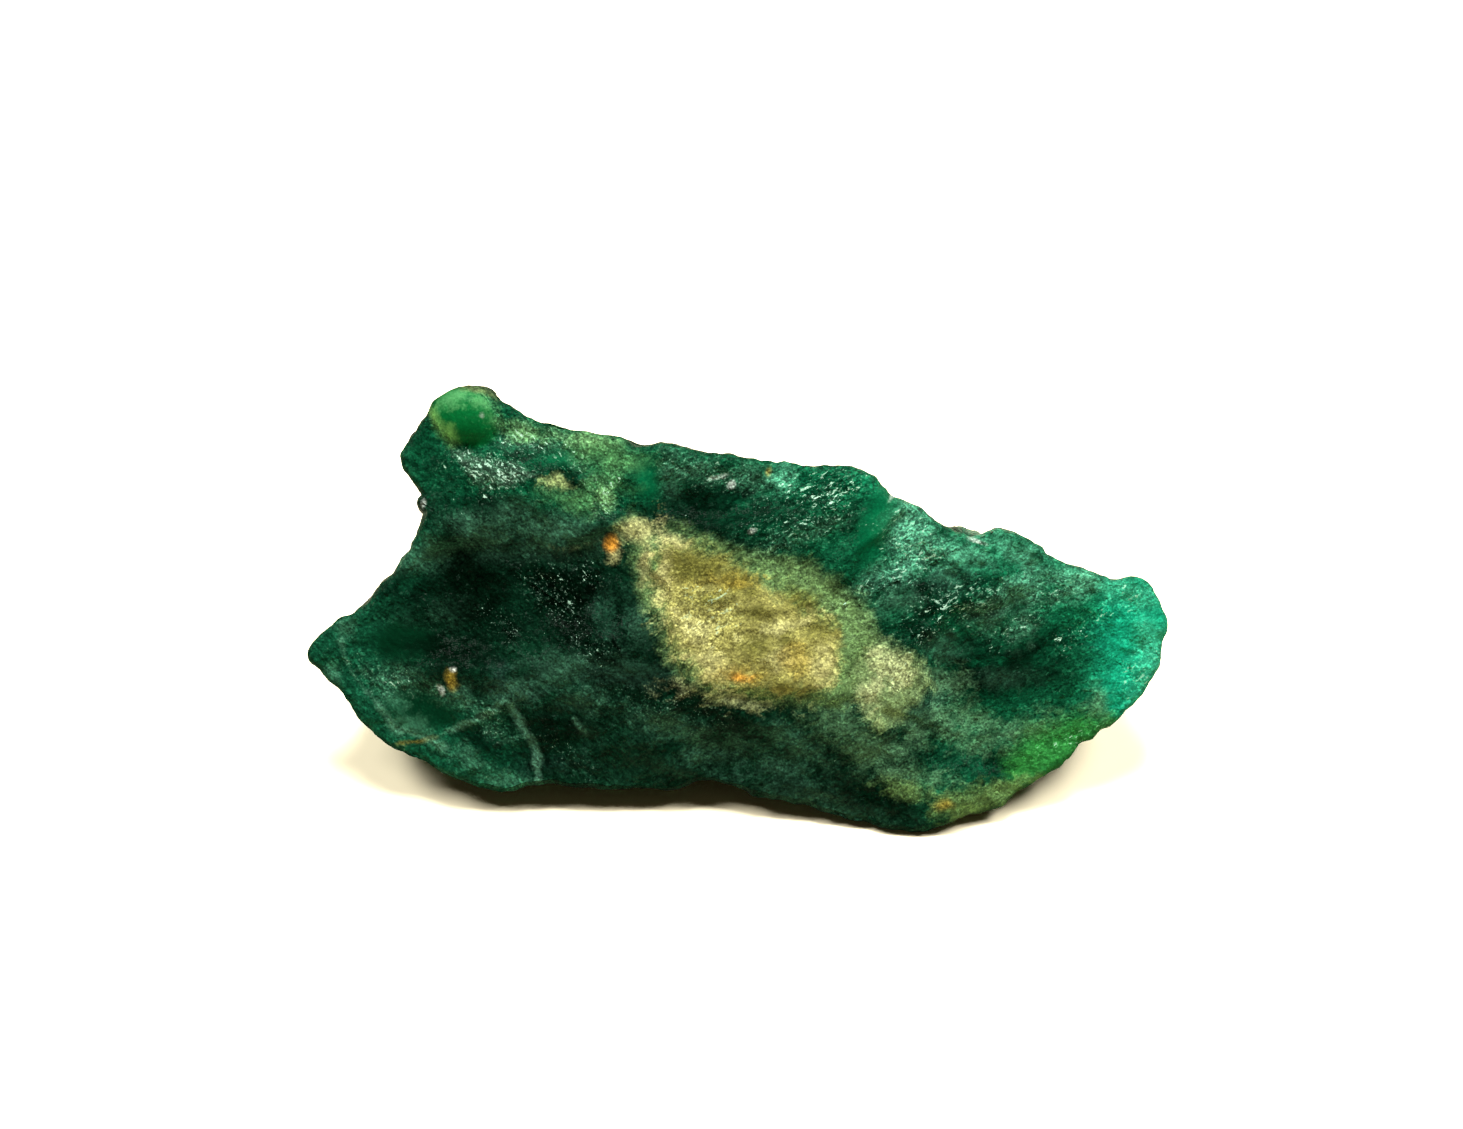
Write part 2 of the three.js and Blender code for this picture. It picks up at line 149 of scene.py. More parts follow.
back = {
    # breaks of the back and underside: outward direction in the part's axes, and the dot product of that
    # direction with any point of the break
    "facets": [
        ((0.1, 1.0, 0.55), 12.4), ((0.0, 1.0, 0.05), 8.9), ((0.06, 1.0, -0.55), 6.8),
        ((0.6, 1.0, 0.05), 13.4), ((-0.45, 1.0, -0.25), 12.6), ((-0.42, 0.25, -1.0), 4.5),
        ((0.52, 0.2, -1.0), 6.5), ((-0.05, -0.55, -1.0), 2.7), ((-1.0, 0.55, -0.35), 17.6),
        ((1.0, 0.45, -0.45), 17.4), ((-0.15, 0.62, -1.0), 6.3),
    ],
    "blend": 0.6,
    "leastThickness": 1.9,
    # the knob's corner is thicker: by how much, and where that sets in leftwards and upwards
    "cornerThickness": 1.2,
    "cornerLeft": (8.5, 11),
    "cornerUp": (5.5, 8.5),
    "floorSink": 0.5,  # how far the back dips under the floor, to be cut off flat there
}

sinLean = math.sin(slab["lean"])
cosLean = math.cos(slab["lean"])


# 0 below low, 1 above high, and 3 t squared minus 2 t cubed between
def smoothstep(low, high, x):
    t = np.clip((x - low) / (high - low), 0, 1)
    return t * t * (3 - 2 * t)


# the lower of two heights, rounded off where they are within the blend of each other
def softMin(a, b, blend):
    share = np.clip(0.5 + 0.5 * (b - a) / blend, 0, 1)
    return b * (1 - share) + a * share - blend * share * (1 - share)


# a number from -1 to 1 for each lattice cell: the fraction of a large sine of the cell's coordinates
def hashed(cell, salt):
    mixed = np.sin(cell @ np.array([127.1, 311.7, 74.7]) + salt * 19.19) * 43758.5453
    return 2 * (mixed - np.floor(mixed)) - 1


# random heights at the corners of a turned lattice of tetrahedra, joined by flat facets
def chips(points, size, salt):
    turn = np.array([[0.36, 0.48, -0.8], [-0.8, 0.6, 0.0], [0.48, 0.64, 0.6]])
    scaled = points @ turn.T / size + salt * 3.7
    scaled = scaled + scaled.sum(axis=-1, keepdims=True) / 3
    corner = np.floor(scaled)
    part = scaled - corner
    order = np.argsort(-part, axis=-1)
    ranked = np.take_along_axis(part, order, axis=-1)
    total = hashed(corner, salt) * (1 - ranked[..., 0])
    for step in range(3):
        corner = corner + np.eye(3)[order[..., step]]
        following = ranked[..., step + 1] if step < 2 else 0
        total = total + hashed(corner, salt) * (ranked[..., step] - following)
    return total


# distances along and across a turned ellipse, in its half length and half width
def withinEllipse(u, v, middle, radii, turn):
    c, s = math.cos(math.radians(turn)), math.sin(math.radians(turn))
    du, dv = u - middle[0], v - middle[1]
    return (du * c + dv * s) / radii[0], (dv * c - du * s) / radii[1]


# 1 at an ellipse's middle, falling to 0 at its edge as (1 - r squared) to a power
def mound(u, v, middle, radii, turn, power):
    along, across = withinEllipse(u, v, middle, radii, turn)
    return np.clip(1 - along ** 2 - across ** 2, 0, 1) ** power


# a smooth step across a line, fading out exponentially beside it and at its ends
def stepHeight(u, v, start, end, rise, fade, halfWidth):
    length = math.dist(start, end)
    x, y = (end[0] - start[0]) / length, (end[1] - start[1]) / length
    along = (u - start[0]) * x + (v - start[1]) * y
    beside = (v - start[1]) * x - (u - start[0]) * y
    ends = smoothstep(*face["stepEnds"], along) * smoothstep(*face["stepEnds"], length - along)
    edge = smoothstep(-halfWidth, halfWidth, beside)
    return rise * ends * edge * np.exp(-np.maximum(beside, 0) / fade)


# the lowest of the face's breaks, plus mounds, and steps along straying lines, with the knob on top;
# where it isn't fine, the lines stray in the large only
def frontHeight(u, v, fine=True):
    flat = np.stack([u, v, 0 * u], axis=-1)
    wanderU, wanderV = u, v
    for size, reach, salt in face["wander"][:2 if fine else 1]:
        wanderU = wanderU + reach * chips(flat, size, salt)
        wanderV = wanderV + reach * chips(flat, size, salt + 1)
    height = None
    for level, fallU, fallV in face["planes"]:
        plane = level - fallU * wanderU - fallV * wanderV
        height = plane if height is None else softMin(height, plane, face["planeBlend"])
    for middle, radii, turn, rise in face["mounds"]:
        height = height + rise * mound(wanderU, wanderV, middle, radii, turn, face["moundPower"])
    for step in face["steps"]:
        height = height + stepHeight(wanderU, wanderV, *step)
    knob = face["knob"]
    dome = mound(u, v, knob["at"], knob["radii"], knob["turn"], knob["power"])
    return -softMin(-height, -(knob["foot"] + knob["rise"] * (dome - knob["sunk"])), knob["blend"])


# the nearest of the back's breaks behind the face's plane, met in worn edges
def backDepth(u, v):
    depth = None
    for (x, y, z), reach in back["facets"]:
        slopeV, slopeW = y * sinLean + z * cosLean, z * sinLean - y * cosLean
        facet = (z * slab["heartHeight"] + x * u + slopeV * v - reach) / slopeW
        depth = facet if depth is None else softMin(depth, facet, back["blend"])
    return depth


# the back's breaks, kept from running deep under the floor and from coming too near the face
def backHeight(u, v):
    floor = -(slab["heartHeight"] + back["floorSink"] + v * cosLean) / sinLean
    corner = smoothstep(*back["cornerUp"], v) * smoothstep(*back["cornerLeft"], -u)
    thickness = back["leastThickness"] + back["cornerThickness"] * corner
    return np.minimum(np.maximum(-backDepth(u, v), floor), frontHeight(u, v, fine=False) - thickness)


# the outline as a closed Catmull-Rom curve, at stations spaced evenly along it
def rimStations(count):
    p = np.array(slab["outline"])
    before, here, there, beyond = (np.roll(p, k, axis=0)[:, None] for k in (1, 0, -1, -2))
    t = np.linspace(0, 1, slab["curvePoints"], endpoint=False)[None, :, None]
    bend = t * (2 * before - 5 * here + 4 * there - beyond + t * (3 * (here - there) + beyond - before))
    dense = (here + 0.5 * t * (there - before + bend)).reshape(-1, 2)
    dense = np.vstack([dense, dense[:1]])
    walked = np.concatenate([[0], np.cumsum(np.linalg.norm(np.diff(dense, axis=0), axis=1))])
    stations = np.linspace(0, walked[-1], count, endpoint=False)
    return np.stack([np.interp(stations, walked, dense[:, k]) for k in range(2)], axis=1)


# unit vectors out of the rim, square to the line between each point's neighbours
def outwards(rim):
    along = np.roll(rim, -1, axis=0) - np.roll(rim, 1, axis=0)
    outward = np.stack([along[:, 1], -along[:, 0]], axis=1)
    return outward / np.linalg.norm(outward, axis=1)[:, None]


# the rim with its small wiggles worn away: a bell-shaped average along it
def wornRim(rim, reach):
    spacing = np.linalg.norm(rim - np.roll(rim, 1, axis=0), axis=1).mean()
    half = round(3 * reach / spacing)  # past three reaches the bell is as good as flat
    shares = np.exp(-0.5 * (np.arange(-half, half + 1) * spacing / reach) ** 2)
    shifts = range(-half, half + 1)
    shifted = [share * np.roll(rim, shift, axis=0) for shift, share in zip(shifts, shares)]
    return np.sum(shifted, axis=0) / shares.sum()


# the grid's rings of squares, walked round like the rim: how far out each point is, and its station
def gridStations(columns, rows):
    i, j = np.meshgrid(np.arange(columns + 1), np.arange(rows + 1), indexing="ij")
    a, b = 2 * i / columns - 1, 2 * j / rows - 1
    out = np.maximum(np.abs(a), np.abs(b))
    sideA, sideB = a / np.maximum(out, tiny), b / np.maximum(out, tiny)
    right, left = rows / 2 * sideB, rows / 2 + columns + (1 - sideB) * rows / 2
    top, bottom = rows / 2 + (1 - sideA) * columns / 2, 1.5 * rows + columns + (1 + sideA) * columns / 2
    onSides = [sideA > 1 - tiny, sideB > 1 - tiny, sideA < -1 + tiny]
    return out, np.mod(np.select(onSides, [right, top, left], bottom), 2 * (columns + rows))


# each grid point lies part of the way along the spoke from the heart to its station of the rim
def sheetPoints(rim, out, station):
    low = np.floor(station).astype(int) % len(rim)
    part = (station - np.floor(station))[..., None]
    edge = rim[low] * (1 - part) + rim[(low + 1) % len(rim)] * part
    return np.moveaxis(np.array(slab["heart"]) + out[..., None] * (edge - slab["heart"]), -1, 0)


# the grid's border points in the same order as the rim's stations
def rimIndices(columns, rows):
    grid = np.arange((columns + 1) * (rows + 1)).reshape(columns + 1, rows + 1)
    right, top, left, bottom = grid[-1, :-1], grid[:0:-1, -1], grid[0, :0:-1], grid[:-1, 0]
    return np.roll(np.concatenate([right, top, left, bottom]), -(rows // 2))


# two triangles for each cell, cut along the spokes so that none is a sliver
def sheetTriangles(columns, rows, first, facingFront):
    i, j = np.meshgrid(np.arange(columns), np.arange(rows), indexing="ij")
    a = i * (rows + 1) + j + first
    b, c, d = a + rows + 1, a + rows + 2, a + 1
    rising = ((i + 0.5 - columns / 2) * (j + 0.5 - rows / 2) > 0)[..., None]
    cutOneWay, cutOtherWay = np.stack([a, b, c, a, c, d], -1), np.stack([a, b, d, b, c, d], -1)
    triangles = np.where(rising, cutOneWay, cutOtherWay).reshape(-1, 3)
    return triangles if facingFront else triangles[:, ::-1]


# two triangles for each cell between one ring of points and the next
def ringTriangles(rings):
    near, far = rings[:-1], rings[1:]
    nearNext, farNext = np.roll(near, -1, axis=1), np.roll(far, -1, axis=1)
    return np.stack([near, far, farNext, near, farNext, nearNext], -1).reshape(-1, 3)


# the whole skin in the face's frame: a front sheet, a back sheet and the wall of rings between their
# rims; with it, how rough each point's chips are, and how dark a line round the wall is there
def slabSkin(columns, rows, wallRings):
    out, station = gridStations(columns, rows)
    rim = rimStations(2 * (columns + rows))
    outward = outwards(rim)
    for size, reach, salt in slab["jags"]:
        flat = np.concatenate([rim, np.zeros((len(rim), 1))], axis=1)
        rim = rim + reach * chips(flat, size, salt)[:, None] * outward
    worn = wornRim(rim, slab["wearReach"])
    u, v = sheetPoints(rim - slab["frontInset"] * outward, out, station)
    front = np.stack([u, v, frontHeight(u, v)], -1).reshape(-1, 3)
    u, v = sheetPoints(worn - slab["backInset"] * outwards(worn), out, station)
    rear = np.stack([u, v, backHeight(u, v)], -1).reshape(-1, 3)
    edge = rimIndices(columns, rows)
    t = np.linspace(0, 1, wallRings + 1)[1:-1, None, None]
    wall = front[edge] * (1 - t) + rear[edge] * t
    towardsFace, squared = slab["bulgePowers"]
    wall[..., :2] += slab["wallBulge"] * np.sin(np.pi * t ** towardsFace) ** squared * outward
    wallFirst = 2 * len(front)
    between = wallFirst + np.arange(wall.shape[0] * len(edge)).reshape(-1, len(edge))
    rings = np.concatenate([edge[None], between, edge[None] + len(front)])
    triangles = np.concatenate([
        sheetTriangles(columns, rows, 0, True), sheetTriangles(columns, rows, len(front), False),
        ringTriangles(rings)])
    down = t[:, 0, 0]  # how far down the wall each ring lies
    onWall = np.repeat(smoothstep(0, slab["wildAt"], down), len(edge))
    wildness = np.concatenate([np.zeros(len(front)), np.ones(len(rear)), onWall])
    wildness[edge] = slab["edgeWildness"]
    bandMiddle, bandHalf = slab["darkBand"]
    nearRim = np.zeros(len(wildness))
    nearRim[wallFirst:] = np.repeat(mound(down, 0, (bandMiddle, 0), (bandHalf, 1), 0, 0.5), len(edge))
    return np.concatenate([front, rear, wall.reshape(-1, 3)]), triangles, wildness, nearRim


# at each point, the sum of the cross products of its triangles' sides, made one long
def vertexNormals(points, triangles):
    a, b, c = (points[triangles[:, k]] for k in range(3))
    across = np.cross(b - a, c - a)
    total = np.zeros_like(points)
    for k in range(3):
        np.add.at(total, triangles[:, k], across)
    return total / np.maximum(np.linalg.norm(total, axis=1), tiny)[:, None]


# 1 at the middle of each ellipse of a kind of ground, falling to 0 at its edge
def groundShare(u, v, ellipses):
    share = np.zeros(len(u))
    for middle, radii, turn in ellipses:
        share = np.maximum(share, mound(u, v, middle, radii, turn, face["groundPower"]))
    return share


# the skin pushed in and out along its normals by chips, more on the back than on the face
def roughSkin():
    points, triangles, wildness, nearRim = slabSkin(slab["columns"], slab["rows"], slab["wallRings"])
    u, v = points[:, 0], points[:, 1]
    knob = face["knob"]
    knobShare = mound(u, v, knob["at"], knob["radii"], knob["turn"], knob["calmPower"])
    onFace = wildness < 0.5
    smooth = np.maximum(groundShare(u, v, face["glassy"]), knobShare) * onFace
    sugary = groundShare(u, v, face["sugary"])
    push = np.zeros(len(points))
    for size, calm, wild, salt in slab["chips"]:
        height = calm + (wild - calm) * wildness
        if size < slab["calmedBelow"]:
            height = height * (1 - slab["calming"] * smooth)
        if size < slab["sugaredBelow"]:
            height = height * (1 + sugary * (1 - smooth))
        push = push + height * chips(points, size, salt)
    return points + push[:, None] * vertexNormals(points, triangles), triangles, wildness, nearRim


# the face's u, v, w turned by the lean and lifted: x is u, y and z share v and w by its sine and cosine
def faceToPart(points):
    u, v, w = np.moveaxis(np.asarray(points, float), -1, 0)
    y, z = v * sinLean - w * cosLean, v * cosLean + w * sinLean
    return np.stack([u, y, slab["heartHeight"] + z], axis=-1)


# lays the points in the solid's box: shifted over its middle, and stretched by the hair that differs
def intoBox(points, low, high):
    size = (np.array(high) - low) / (points.max(axis=0) - points.min(axis=0))
    return low + (points - points.min(axis=0)) * size


# the skin stood on the floor, cut off flat there, and laid in the solid's box
def makeStone():
    onFace, triangles, wildness, nearRim = roughSkin()
    skin = faceToPart(onFace)
    skin[:, 2] = np.maximum(skin[:, 2], 0)
    low, high = (np.array(corner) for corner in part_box("grandidierite_stone"))
    placed = intoBox(skin, low, high)
    mesh = bpy.data.meshes.new("grandidierite_rough")
    mesh.from_pydata(placed.tolist(), [], triangles.tolist())
    mesh.shade_smooth()
    layMarks(mesh, onFace, wildness, nearRim)
    stone = bpy.data.objects.new("grandidierite_rough", mesh)
    bpy.context.scene.collection.objects.link(stone)
    shift = low / millimetre - skin.min(axis=0)  # from the face's own origin to the part's
    print(f"stone: {len(placed)} points, {len(triangles)} triangles, shift {np.round(shift, 3)} mm")
    return stone, shift


# wraps a node's output; arithmetic on it adds Math nodes
class Socket:
    def __init__(self, tree, output):
        self.tree = tree
        self.output = output

    def maths(self, operation, *values):
        return self.tree.add("ShaderNodeMath", {"operation": operation}, dict(enumerate(values)))

    def __add__(self, other):
        return self.maths("ADD", self, other)

    def __radd__(self, other):
        return self.maths("ADD", other, self)

    def __sub__(self, other):
        return self.maths("SUBTRACT", self, other)

    def __rsub__(self, other):
        return self.maths("SUBTRACT", other, self)

    def __mul__(self, other):
        return self.maths("MULTIPLY", self, other)

    def __rmul__(self, other):
        return self.maths("MULTIPLY", other, self)

    # another output of the same node
    def also(self, name):
        return Socket(self.tree, self.output.node.outputs[name])

    def most(self, other):
        return self.maths("MAXIMUM", self, other)


# a material's nodes, and the ways of adding one
class ShaderTree:
    def __init__(self, name):
        self.material = bpy.data.materials.new(name)
        self.material.use_nodes = True
        self.nodes = self.material.node_tree.nodes
        self.links = self.material.node_tree.links
        self.nodes.clear()

    # adds a node of a type, with its settings, then its sockets' values or links
    def add(self, kind, settings, inputs, output=0):
        node = self.nodes.new(kind)
        for name, value in settings.items():
            if name == "stops":
                stops = node.color_ramp.elements
                for number, (place, grey) in enumerate(value):
                    stop = stops[number] if number < len(stops) else stops.new(place)
                    stop.position = place
                    stop.color = (grey, grey, grey, 1)
            else:
                setattr(node, name, value)
        for key, value in inputs.items():
            if isinstance(value, Socket):
                self.links.new(value.output, node.inputs[key])
            else:
                node.inputs[key].default_value = value
        return Socket(self, node.outputs[output]) if len(node.outputs) else node

    def noise(self, vector, size, detail, roughness):
        inputs = {"Vector": vector, "Scale": 1 / size, "Detail": detail, "Roughness": roughness}
        return self.add("ShaderNodeTexNoise", {}, inputs, "Fac")

    def vectorMath(self, operation, *vectors, output=0):
        settings = {"operation": operation}
        return self.add("ShaderNodeVectorMath", settings, dict(enumerate(vectors)), output)

    # cells the size of small crystals, each with a colour of its own
    def crystals(self, vector, size):
        return self.add("ShaderNodeTexVoronoi", {}, {"Vector": vector, "Scale": 1 / size}, "Color")

    # a number from 0 to 1 for each crystal
    def number(self, cells):
        return self.vectorMath("DOT_PRODUCT", cells, (1, 0, 0), output="Value")

    # stretches a pattern along a direction turned by some degrees
    def stretched(self, vector, turn, stretch):
        return self.add("ShaderNodeMapping", {"vector_type": "TEXTURE"}, {
            "Vector": vector, "Rotation": (0, 0, math.radians(turn)), "Scale": (stretch, 1, 1)})

    def attribute(self, name):
        return self.add("ShaderNodeAttribute", {"attribute_name": name}, {}, "Fac")

    # 0 below low, 1 above high, smooth between
    def ramp(self, value, low, high):
        inputs = {"Value": value, "From Min": low, "From Max": high}
        return self.add("ShaderNodeMapRange", {"interpolation_type": "SMOOTHSTEP"}, inputs)

    # lays one colour over another; the Mix node's colours are its sockets 6 and 7, and output 2
    def blend(self, share, under, over, how="MIX"):
        under = under if isinstance(under, Socket) else (*under, 1)
        over = over if isinstance(over, Socket) else (*over, 1)
        settings = {"data_type": "RGBA", "blend_type": how}
        return self.add("ShaderNodeMix", settings, {0: share, 6: under, 7: over}, 2)


# the stone's colours, from its body to its marks
colours = {
    "deep": (0.0002, 0.0018, 0.0007),
    "sombre": (0.0012, 0.008, 0.0035),
    "bottle": (0.0015, 0.014, 0.006),
    "haze": (0.0065, 0.03, 0.016),
    "blueHaze": (0.009, 0.026, 0.021),
    "shade": (0.001, 0.009, 0.004),
    "green": (0.002, 0.045, 0.018),
    "sea": (0.003, 0.08, 0.034),
    "teal": (0.003, 0.04, 0.018),
    "tealPale": (0.022, 0.085, 0.046),
    "clearDark": (0.0004, 0.013, 0.0045),
    "clearGreen": (0.0005, 0.056, 0.02),
    "frostDark": (0.028, 0.088, 0.05),
    # pale frosted ground, partly painted sheen where its facets face the light
    "frost": (0.06, 0.24, 0.14),
    # painted glow: light coming through the thin right-hand end, and its palest part
    "bright": (0.004, 0.19, 0.1),
    "mint": (0.03, 0.25, 0.14),
    "leaf": (0.04, 0.125, 0.042),
    "leafPale": (0.13, 0.28, 0.11),
    "leafYellow": (0.27, 0.33, 0.12),
    "lime": (0.016, 0.12, 0.022),
    "cloudy": (0.06, 0.14, 0.065),
    "toe": (0.07, 0.13, 0.04),
    "vein": (0.05, 0.14, 0.085),
    "cream": (0.14, 0.2, 0.11),
    "fringe": (0.075, 0.135, 0.045),
    "patchCream": (0.19, 0.178, 0.05),
    "olive": (0.06, 0.06, 0.01),
    "chalk": (0.28, 0.27, 0.11),
    "gold": (0.26, 0.18, 0.022),
    "paleGreen": (0.12, 0.18, 0.07),
    "palest": (0.22, 0.24, 0.11),
    "orange": (0.42, 0.18, 0.02),
    "white": (0.4, 0.45, 0.4),
    "knob": (0.0012, 0.065, 0.014),
    # painted highlight on the blister
    "knobHighlightColour": (0.06, 0.2, 0.07),
    # painted glow where light comes through the blister's lower rim
    "knobLime": (0.17, 0.4, 0.1),
    "crest": (0.07, 0.085, 0.03),
    "grey": (0.06, 0.085, 0.062),
    # painted glints: the pale highlights of small crystals
    "paintedGlint": (0.27, 0.43, 0.32),
}

